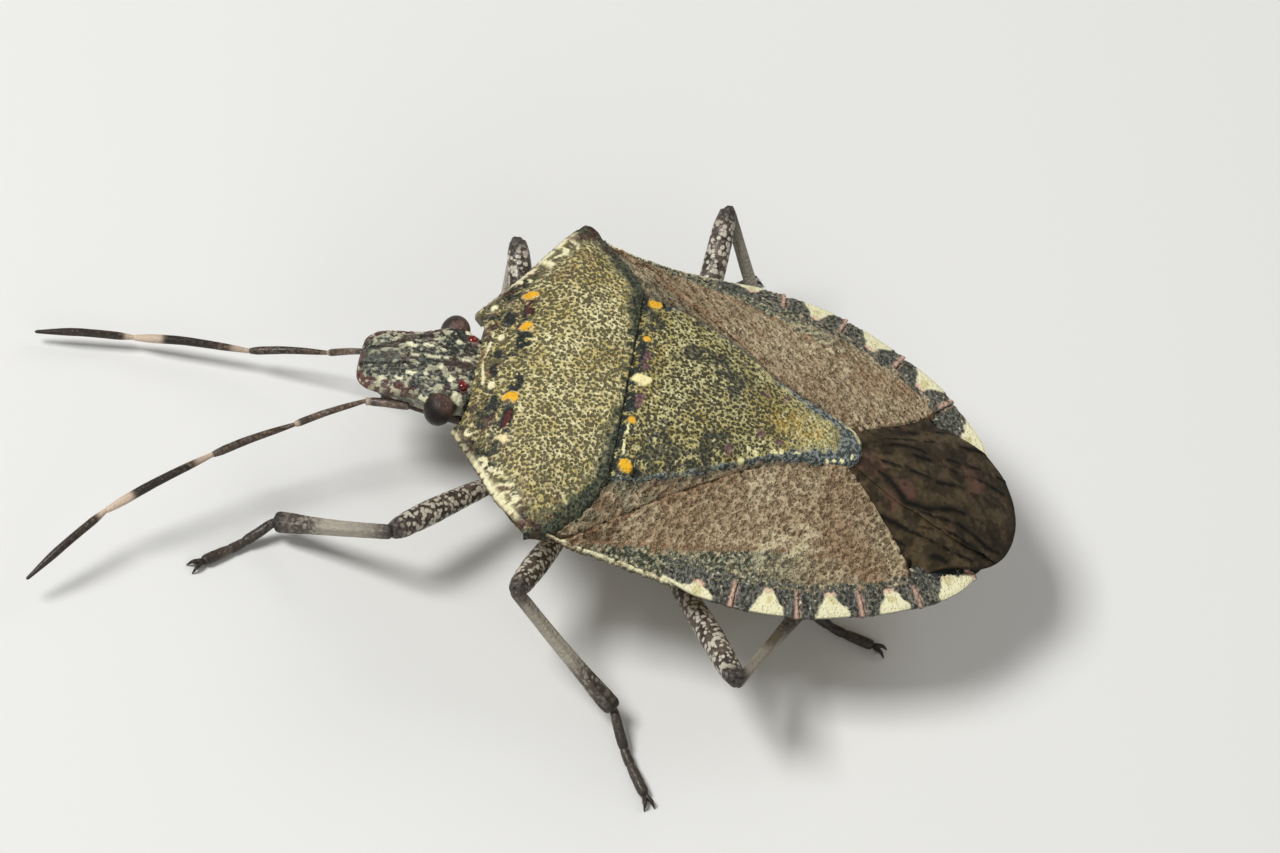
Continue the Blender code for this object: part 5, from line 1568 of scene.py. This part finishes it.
@dataclass
class Dome:
    """A glossy globe sunk in the head: an eye or an ocellus."""

    body: Body
    name: str
    centre: tuple[float, float, float]
    radii: tuple[float, float, float]
    finish: Gloss
    nodes: tuple[str, ...] = ()
    segments: int = 48
    rings: int = 32

    def build(self) -> bpy.types.Object:
        """Add the globe at its place, stretch it and dress it."""
        bpy.ops.object.select_all(action="DESELECT")
        bpy.ops.mesh.primitive_uv_sphere_add(segments=self.segments, ring_count=self.rings, radius=1.0)
        globe = bpy.context.active_object
        globe.name = globe.data.name = self.name
        sphere = vertices_of(globe)
        move_vertices(globe, self.body.to_world(sphere * self.radii + self.centre))
        # Painted light and shade: lighter towards the top and front, darker on the outer lower side.
        outwards = sphere[:, 0] * math.copysign(1.0, self.centre[0])
        paint(globe, {"upper": rise(-0.1, 0.95, 0.7 * sphere[:, 2] + 0.45 * sphere[:, 1] - 0.5 * outwards)})
        return finish_piece(globe, self.finish.material(), self.nodes)


@dataclass
class Limb:
    """One piece of a leg, a feeler or the beak: a tube turned round a path."""

    body: Body
    name: str
    slot: str
    finish: Horn | Shell
    path: Sequence[Vector]
    radius: Curve
    nodes: tuple[str, ...] = ()
    sides: int = 32
    rings: int = 64
    cap: float = 0.06
    flatness: float = 1.0
    ribs: float = 0.0
    marks: dict[str, Curve] = field(default_factory=dict)

    def route(self) -> tuple[Array, Array, Array]:
        """Return the middle of each ring and its two cross directions."""
        points = np.array([tuple(point) for point in self.path])
        lengths = np.concatenate(([0.0], np.cumsum(np.linalg.norm(np.diff(points, axis=0), axis=1))))
        at = np.linspace(0.0, lengths[-1], self.rings + 1)
        middle = np.column_stack([Curve(*zip(lengths, points[:, i]))(at) for i in range(3)])
        ahead = np.gradient(middle, axis=0)
        ahead /= np.linalg.norm(ahead, axis=1)[:, None]
        side = np.cross(ahead[0], (0.0, 0.0, 1.0))
        if np.linalg.norm(side) < 0.1:
            side = np.cross(ahead[0], (0.0, 1.0, 0.0))
        across = np.empty_like(middle)
        for index, direction in enumerate(ahead):
            side = side - direction * side.dot(direction)
            side /= np.linalg.norm(side)
            across[index] = side
        return middle, across, np.cross(across, ahead)

    def build(self) -> bpy.types.Object:
        """Build, paint and dress the piece."""
        tube = add_tube(self.name, self.sides, self.rings)
        cx, cy, share = vertices_of(tube).T
        angle = np.arctan2(cy, cx)
        ring = np.rint(share * self.rings).astype(int)
        middle, across, up = (part[ring] for part in self.route())
        length = float(np.linalg.norm(np.diff(np.array([tuple(p) for p in self.path]), axis=0), axis=1).sum())
        ends = np.minimum(cap_factor(share, self.cap / length), cap_factor(1 - share, self.cap / length))
        radius = self.radius(share) * ends
        radius = radius * (1 + self.ribs * np.cos(4 * angle) + 0.03 * (Mottle(0.9, 81)(angle, share * 14) - 0.5))
        offset = (across * (np.cos(angle) * radius)[:, None]
                  + up * (np.sin(angle) * radius * self.flatness)[:, None])
        move_vertices(tube, self.body.to_world(middle + offset))
        paint(tube, {mark: curve(share) for mark, curve in self.marks.items()})
        close_poles(tube)
        return finish_piece(tube, self.finish.material(), self.nodes)


@dataclass
class Leg:
    """A leg: coxa, trochanter, femur, tibia, three tarsal pieces and two claws."""

    body: Body
    pair: str
    side: Side
    hip: tuple[float, float]
    knee: tuple[float, float, float]
    ankle: tuple[float, float, float]
    toe: tuple[float, float]
    floor: float = -3.3
    hip_depth: float = 0.55
    hip_reach: float = 0.2
    femur_radius: Curve = Curve((0.0, 0.15), (0.1, 0.18), (0.35, 0.235), (0.7, 0.275), (0.9, 0.25), (1.0, 0.17))
    tibia_radius: Curve = Curve((0.0, 0.11), (0.05, 0.145), (0.3, 0.15), (0.65, 0.17), (0.95, 0.21), (1.0, 0.17))
    tarsus_radius: float = 0.13
    tarsus_ends: tuple[float, ...] = (0.0, 0.4, 0.6, 1.0)
    girth: float = 1.0
    claw_length: float = 0.34
    claw_spread: float = 0.38

    @property
    def word(self) -> str:
        """Return the leg's name as the nodes spell it."""
        return f"{self.pair}_{self.side.word}"

    def build(self) -> None:
        """Build every piece of the leg."""
        x, s = self.hip
        socket = Vector((x, s, float(self.body.belly(np.array(x), np.array(s))) - 0.02))
        knee, ankle = Vector(self.knee), Vector(self.ankle)
        outwards = Vector((knee.x - x, knee.y - s, 0)).normalized()
        bend = socket + outwards * self.hip_reach - Vector((0, 0, self.hip_depth))
        self.limb("coxa", [socket + Vector((0, 0, 0.15)), socket.lerp(bend, 0.45), bend],
                  Curve((0.0, 0.42), (0.5, 0.36), (1.0, 0.2)), rings=24)
        self.limb("trochanter", [bend + (socket - bend) * 0.25, bend, bend.lerp(knee, 0.07)],
                  Curve((0.0, 0.17), (0.5, 0.22), (1.0, 0.17)), rings=20)
        self.build_femur(bend.lerp(knee, 0.03), knee)
        self.build_tibia(knee, ankle)
        self.build_foot(ankle)

    def limb(self, part: str, path: Sequence[Vector], radius: Curve, rings: int = 64,
             nodes: tuple[str, ...] = (), **more: object) -> None:
        """Build one piece of the leg."""
        Limb(self.body, f"{part}_{self.word}_horn", "leg", LEG, path, radius, nodes, rings=rings,
             **more).build()

    def build_femur(self, start: Vector, knee: Vector) -> None:
        """Build the femur, speckled and darker towards the knee."""
        marks = {"speckle": Curve((0.0, 0.3), (0.2, 0.9), (0.85, 1.0), (1.0, 0.4)),
                 "black": Curve((0.0, 0.5), (0.2, 0.0), (0.9, 0.0), (0.97, 0.8), (1.0, 0.8))}
        sag = Vector((0, 0, 0.07))
        self.limb("femur", [start, start.lerp(knee, 0.5) + sag, knee], self.femur_radius, 90,
                  (f"femur_{self.word}",), marks=marks)

    def build_tibia(self, knee: Vector, ankle: Vector) -> None:
        """Build the tibia, ribbed, with a pale middle and dark ends."""
        marks = {"pale": Curve((0.0, 0.0), (0.1, 0.2), (0.25, 0.5), (0.55, 0.6), (0.68, 0.1), (1.0, 0.0)),
                 "speckle": Curve((0.0, 0.3), (0.3, 0.5), (0.7, 0.5), (1.0, 0.2)),
                 "black": Curve((0.0, 0.9), (0.06, 0.5), (0.15, 0.0), (0.6, 0.0), (0.8, 0.4), (0.93, 0.6),
                                (0.96, 1.0), (1.0, 1.0))}
        start = knee.lerp(ankle, -0.02)
        radius = Curve(*zip(self.tibia_radius.at, self.tibia_radius.value * self.girth))
        self.limb("tibia", [start, start.lerp(ankle, 0.5) + Vector((0, 0, -0.04)), ankle], radius, 90, (f"tibia_{self.word}",), ribs=-0.12, marks=marks)

    def build_foot(self, ankle: Vector) -> None:
        """Build the tarsus, the claws and the pads, down on the floor."""
        toe = Vector((*self.toe, self.floor + self.tarsus_radius + 0.005))
        marks = {"black": Curve((0.0, 0.5), (0.5, 0.7), (1.0, 0.9)), "speckle": Curve((0.0, 0.2), (1.0, 0.1))}
        route = Curve((0.0, ankle.z), (0.25, blend(ankle.z, toe.z, 0.6)), (0.55, toe.z), (1.0, toe.z))
        for number, (low, high) in enumerate(zip(self.tarsus_ends[:-1], self.tarsus_ends[1:]), start=1):
            shares = np.linspace(low - 0.03, high + 0.02 * (number < 3), 5)
            path = [Vector((*blend(np.array(ankle)[:2], np.array(toe)[:2], share), float(route(share))))
                    for share in shares]
            full = self.tarsus_radius * (0.85, 0.8, 0.9)[number - 1]
            nodes = (f"tarsus_{self.word}",) if number == 1 else ()
            self.limb(f"tarsus{number}", path,
                      Curve((0.0, full * 0.75), (0.3, full), (0.8, full * 1.05), (1.0, full * 0.8)),
                      30, nodes, marks=marks)
        ahead = (toe - ankle) * Vector((1, 1, 0))
        ahead.normalize()
        for turn, hand in ((self.claw_spread, "a"), (-self.claw_spread, "b")):
            way = Matrix.Rotation(turn, 3, "Z") @ ahead
            base = toe - ahead * 0.05 + way * 0.02
            tip = toe + way * self.claw_length
            tip.z = self.floor + 0.012
            arch = base.lerp(tip, 0.55) + Vector((0, 0, 0.08))
            self.limb(f"claw_{hand}", [base, arch, tip],
                      Curve((0.0, 0.06), (0.5, 0.045), (1.0, 0.012)), 20,
                      marks={"black": Curve((0.0, 0.9), (1.0, 1.0))})
            pad = toe + way * self.claw_length * 0.55
            pad.z = self.floor + 0.045
            self.limb(f"pad_{hand}", [toe - ahead * 0.02, pad], Curve((0.0, 0.04), (0.7, 0.06), (1.0, 0.05)),
                      14, marks={"pale": Curve((0.0, 0.2), (1.0, 0.6))}, flatness=0.6)


@dataclass
class Feeler:
    """A feeler of five segments, banded dark and pale."""

    body: Body
    side: Side
    joints: Sequence[tuple[float, float, float]]
    radii: tuple[Curve, ...] = (
        Curve((0.0, 0.08), (0.3, 0.1), (0.8, 0.095), (0.9, 0.085), (0.95, 0.09), (1.0, 0.06)),
        Curve((0.0, 0.045), (0.3, 0.068), (0.9, 0.08), (1.0, 0.055)),
        Curve((0.0, 0.045), (0.3, 0.075), (0.85, 0.092), (1.0, 0.06)),
        Curve((0.0, 0.05), (0.25, 0.085), (0.8, 0.1), (1.0, 0.06)),
        Curve((0.0, 0.05), (0.2, 0.09), (0.6, 0.09), (1.0, 0.035)))
    pale: tuple[Curve, ...] = (
        Curve((0.0, 0.1), (0.6, 0.12), (0.85, 0.3), (0.93, 0.7), (1.0, 0.3)),
        Curve((0.0, 0.5), (0.06, 0.3), (0.15, 0.08), (0.85, 0.08), (0.95, 0.6), (1.0, 0.6)),
        Curve((0.0, 0.4), (0.1, 0.02), (0.88, 0.02), (1.0, 0.5)),
        Curve((0.0, 0.8), (0.14, 0.7), (0.22, 0.0), (0.7, 0.0), (0.78, 0.85), (1.0, 0.95)),
        Curve((0.0, 0.95), (0.08, 0.9), (0.15, 0.0), (1.0, 0.0)))
    black: tuple[Curve, ...] = (
        Curve((0.0, 0.3), (0.6, 0.2), (0.8, 0.75), (0.87, 0.1), (0.93, 0.0), (0.97, 0.8), (1.0, 0.9)),
        Curve((0.0, 0.0), (0.1, 0.15), (0.7, 0.2), (0.8, 0.7), (0.9, 0.8), (0.95, 0.0), (1.0, 0.0)),
        Curve((0.0, 0.2), (0.15, 0.55), (1.0, 0.7)),
        Curve((0.0, 0.0), (0.18, 0.1), (0.34, 0.9), (0.7, 0.95), (0.77, 0.0), (1.0, 0.0)),
        Curve((0.0, 0.0), (0.12, 0.2), (0.2, 0.85), (1.0, 0.9)))
    bow: float = 0.035

    def build(self) -> None:
        """Build the five segments."""
        for index, (start, end) in enumerate(zip(self.joints[:-1], self.joints[1:])):
            start, end = Vector(start), Vector(end)
            middle = start.lerp(end, 0.5) + Vector((0, 0, self.bow * (end - start).length))
            marks = {"pale": self.pale[index], "black": self.black[index],
                     "speckle": Curve((0.0, 0.3), (1.0, 0.3))}
            Limb(self.body, f"feeler_{self.side.word}_{index + 1}", "antenna", ANTENNA,
                 [start.lerp(end, -0.03), middle, end], self.radii[index],
                 (f"antenna_{self.side.word}_{index + 1}",), sides=28, rings=56, marks=marks).build()


@dataclass
class Beak:
    """The four-part beak, folded back under the body."""

    body: Body
    ends: tuple[tuple[float, float, float], ...] = (
        (0.75, -1.55, 0.15), (2.0, -1.68, 0.15), (3.7, -1.82, 0.13), (5.2, -1.9, 0.12), (6.6, -1.98, 0.07))
    base: tuple[tuple[float, float, float], ...] = ((0.0, 0.42, -0.86), (0.0, 0.55, -1.25), (0.0, 0.85, -1.52))

    def build(self) -> None:
        """Build the segments, the first of which stands for the node."""
        for index, (start, end) in enumerate(zip(self.ends[:-1], self.ends[1:])):
            path = [Vector((0, start[0] - 0.06, start[1])), Vector((0, end[0], end[1]))]
            radius = Curve((0.0, start[2] * 0.85), (0.15, start[2]), (0.85, end[2]), (1.0, end[2] * 0.85))
            Limb(self.body, f"beak_{index + 1}", "underside", ANTENNA, path, radius,
                 ("rostrum",) if index == 0 else (), sides=24, rings=30,
                 marks={"black": Curve((0.0, 0.1 + 0.25 * index), (1.0, 0.2 + 0.25 * index))}).build()
        Limb(self.body, "beak_base", "underside", ANTENNA, [Vector(point) for point in self.base],
             Curve((0.0, 0.2), (0.6, 0.15), (1.0, 0.12)), sides=24, rings=20,
             marks={"black": Curve((0.0, 0.2), (1.0, 0.1))}).build()


LEGS: dict[tuple[str, Side], tuple[tuple[float, ...], ...]] = {
    ("fore", Side.LEFT): ((0.95, 3.95), (3.64, 1.55, -1.42), (3.2, -0.87, -2.78), (4.44, -2.18)),
    ("mid", Side.LEFT): ((1.25, 5.6), (4.77, 4.39, -0.75), (5.75, 7.2, -2.72), (7.41, 8.26)),
    ("hind", Side.LEFT): ((1.6, 7.3), (5.84, 9.42, -0.4), (1.75, 10.95, -2.78), (2.05, 12.7)),
    ("fore", Side.RIGHT): ((-0.95, 3.95), (-4.26, 2.85, -0.45), (-2.96, 3.15, -2.75), (-2.46, 1.4)),
    ("mid", Side.RIGHT): ((-1.25, 5.6), (-4.6, 4.5, -0.98), (-5.75, 7.2, -2.72), (-6.95, 8.55)),
    ("hind", Side.RIGHT): ((-1.6, 7.3), (-6.2, 7.3, 0.15), (-4.2, 9.57, -2.8), (-4.6, 11.4)),
}
GIRTHS: dict[str, float] = {"fore": 1.0, "mid": 0.92, "hind": 0.84}
FEELERS: dict[Side, tuple[tuple[float, float, float], ...]] = {
    Side.LEFT: ((0.78, 1.3, -0.72), (0.76, 0.35, -0.98), (1.71, -1.03, -1.2), (2.87, -2.59, -1.45),
                (4.66, -4.5, -1.95), (6.44, -5.75, -2.6)),
    Side.RIGHT: ((-0.78, 1.3, -0.78), (-0.78, 0.4, -1.2), (-1.08, -0.62, -2.1), (-0.98, -2.3, -2.65),
                 (-0.7, -4.85, -2.9), (-0.2, -6.96, -2.95)),
}


@dataclass(frozen=True)
class Paper(Finish):
    """The finish of the studio's floor: plain matt paper."""

    name: str = "floor"
    tone: Colour = (0.72, 0.72, 0.7)

    def dress(self, graph: Graph, shader: bpy.types.Node) -> None:
        """Set the paper's tone."""
        shader.inputs["Base Color"].default_value = (*self.tone, 1.0)
        shader.inputs["Roughness"].default_value = 0.75


@dataclass
class Studio:
    """The pale floor, the soft lights and the camera."""

    body: Body
    lens: float = 165.3
    sensor: float = 36.0
    camera_place: tuple[float, float, float] = (76.59, -6.35, 102.06)
    forward: tuple[float, float, float] = (-0.59619, 0.09851, -0.79678)
    down: tuple[float, float, float] = (0.7887, 0.2572, -0.5584)
    floor_size: float = 1.2
    world_strength: float = 0.2

    def build(self) -> None:
        """Add the floor, the lights and the camera."""
        self.add_floor()
        self.add_light("key", (0.03, -0.14, 0.19), 0.07, 0.54)
        self.add_light("fill", (0.2, 0.1, 0.12), 0.16, 0.13)
        self.add_light("back", (-0.14, 0.12, 0.14), 0.12, 0.11)
        world = bpy.data.worlds.new("studio")
        world.use_nodes = True
        background = world.node_tree.nodes["Background"]
        background.inputs["Color"].default_value = (1.0, 0.98, 0.95, 1.0)
        background.inputs["Strength"].default_value = self.world_strength
        bpy.context.scene.world = world
        bpy.context.scene.view_settings.view_transform = "Standard"
        self.add_camera()

    def add_floor(self) -> None:
        """Add the plain floor at the level of the feet."""
        bpy.ops.object.select_all(action="DESELECT")
        bpy.ops.mesh.primitive_plane_add(size=self.floor_size)
        floor = bpy.context.active_object
        floor.name = "studio_floor"
        floor.data.materials.append(Paper().material())

    def add_light(self, name: str, place: tuple[float, float, float], size: float, power: float) -> None:
        """Add a square lamp that faces the animal.

        Args:
            name: of the lamp.
            place: in metres.
            size: of its side, in metres.
            power: in watts.
        """
        lamp = bpy.data.lights.new(name, "AREA")
        lamp.size, lamp.energy = size, power
        holder = bpy.data.objects.new(name, lamp)
        holder.location = place
        holder.rotation_euler = (-Vector(place)).to_track_quat("-Z", "Y").to_euler()
        bpy.context.scene.collection.objects.link(holder)

    def add_camera(self) -> None:
        """Add the camera where the picture was taken from."""
        camera = bpy.data.cameras.new("camera")
        camera.lens, camera.sensor_width = self.lens, self.sensor
        camera.clip_start, camera.clip_end = 0.005, 5.0
        holder = bpy.data.objects.new("camera", camera)
        back, up = -Vector(self.forward), -Vector(self.down)
        side = up.cross(back).normalized()
        turn = Matrix((side, back.cross(side).normalized(), back.normalized())).transposed()
        holder.matrix_world = Matrix.Translation(self.body.to_world([self.camera_place])[0]) @ turn.to_4x4()
        bpy.context.scene.collection.objects.link(holder)
        bpy.context.scene.camera = holder


def measure_origin() -> Vector:
    """Return where the measured origin lies in the frame, in millimetres."""
    low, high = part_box("pronotum")
    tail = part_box("membrane_right")[1]
    return Vector(((low.x + high.x) / 2 / MM, tail.y / MM - 14.96, 3.3))


def main() -> None:
    """Build the animal and the studio around the frame."""
    logging.basicConfig(level=logging.INFO, format="%(name)s %(message)s")
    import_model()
    body = Body(measure_origin())
    Trunk(body).build()
    Head(body).build()
    Pronotum(body).build()
    Scutellum(body).build()
    for side in Side:
        Corium(body, side=side).build()
        Membrane(body, side=side).build()
        Rim(body, side).build()
        Dome(body, f"eye_{side.word}_globe", (side.value * 1.06, 1.9, -0.14), (0.37, 0.33, 0.39), EYE,
             (f"eye_{side.word}",)).build()
        Dome(body, f"ocellus_{side.word}", (side.value * 0.63, 2.27, 0.29), (0.125, 0.115, 0.11), OCELLUS).build()
        Feeler(body, side, FEELERS[side]).build()
    for (pair, side), (hip, knee, ankle, toe) in LEGS.items():
        Leg(body, pair, side, hip, knee, ankle, toe, girth=GIRTHS[pair]).build()
    Beak(body).build()
    Studio(body).build()


if __name__ == "__main__":
    main()
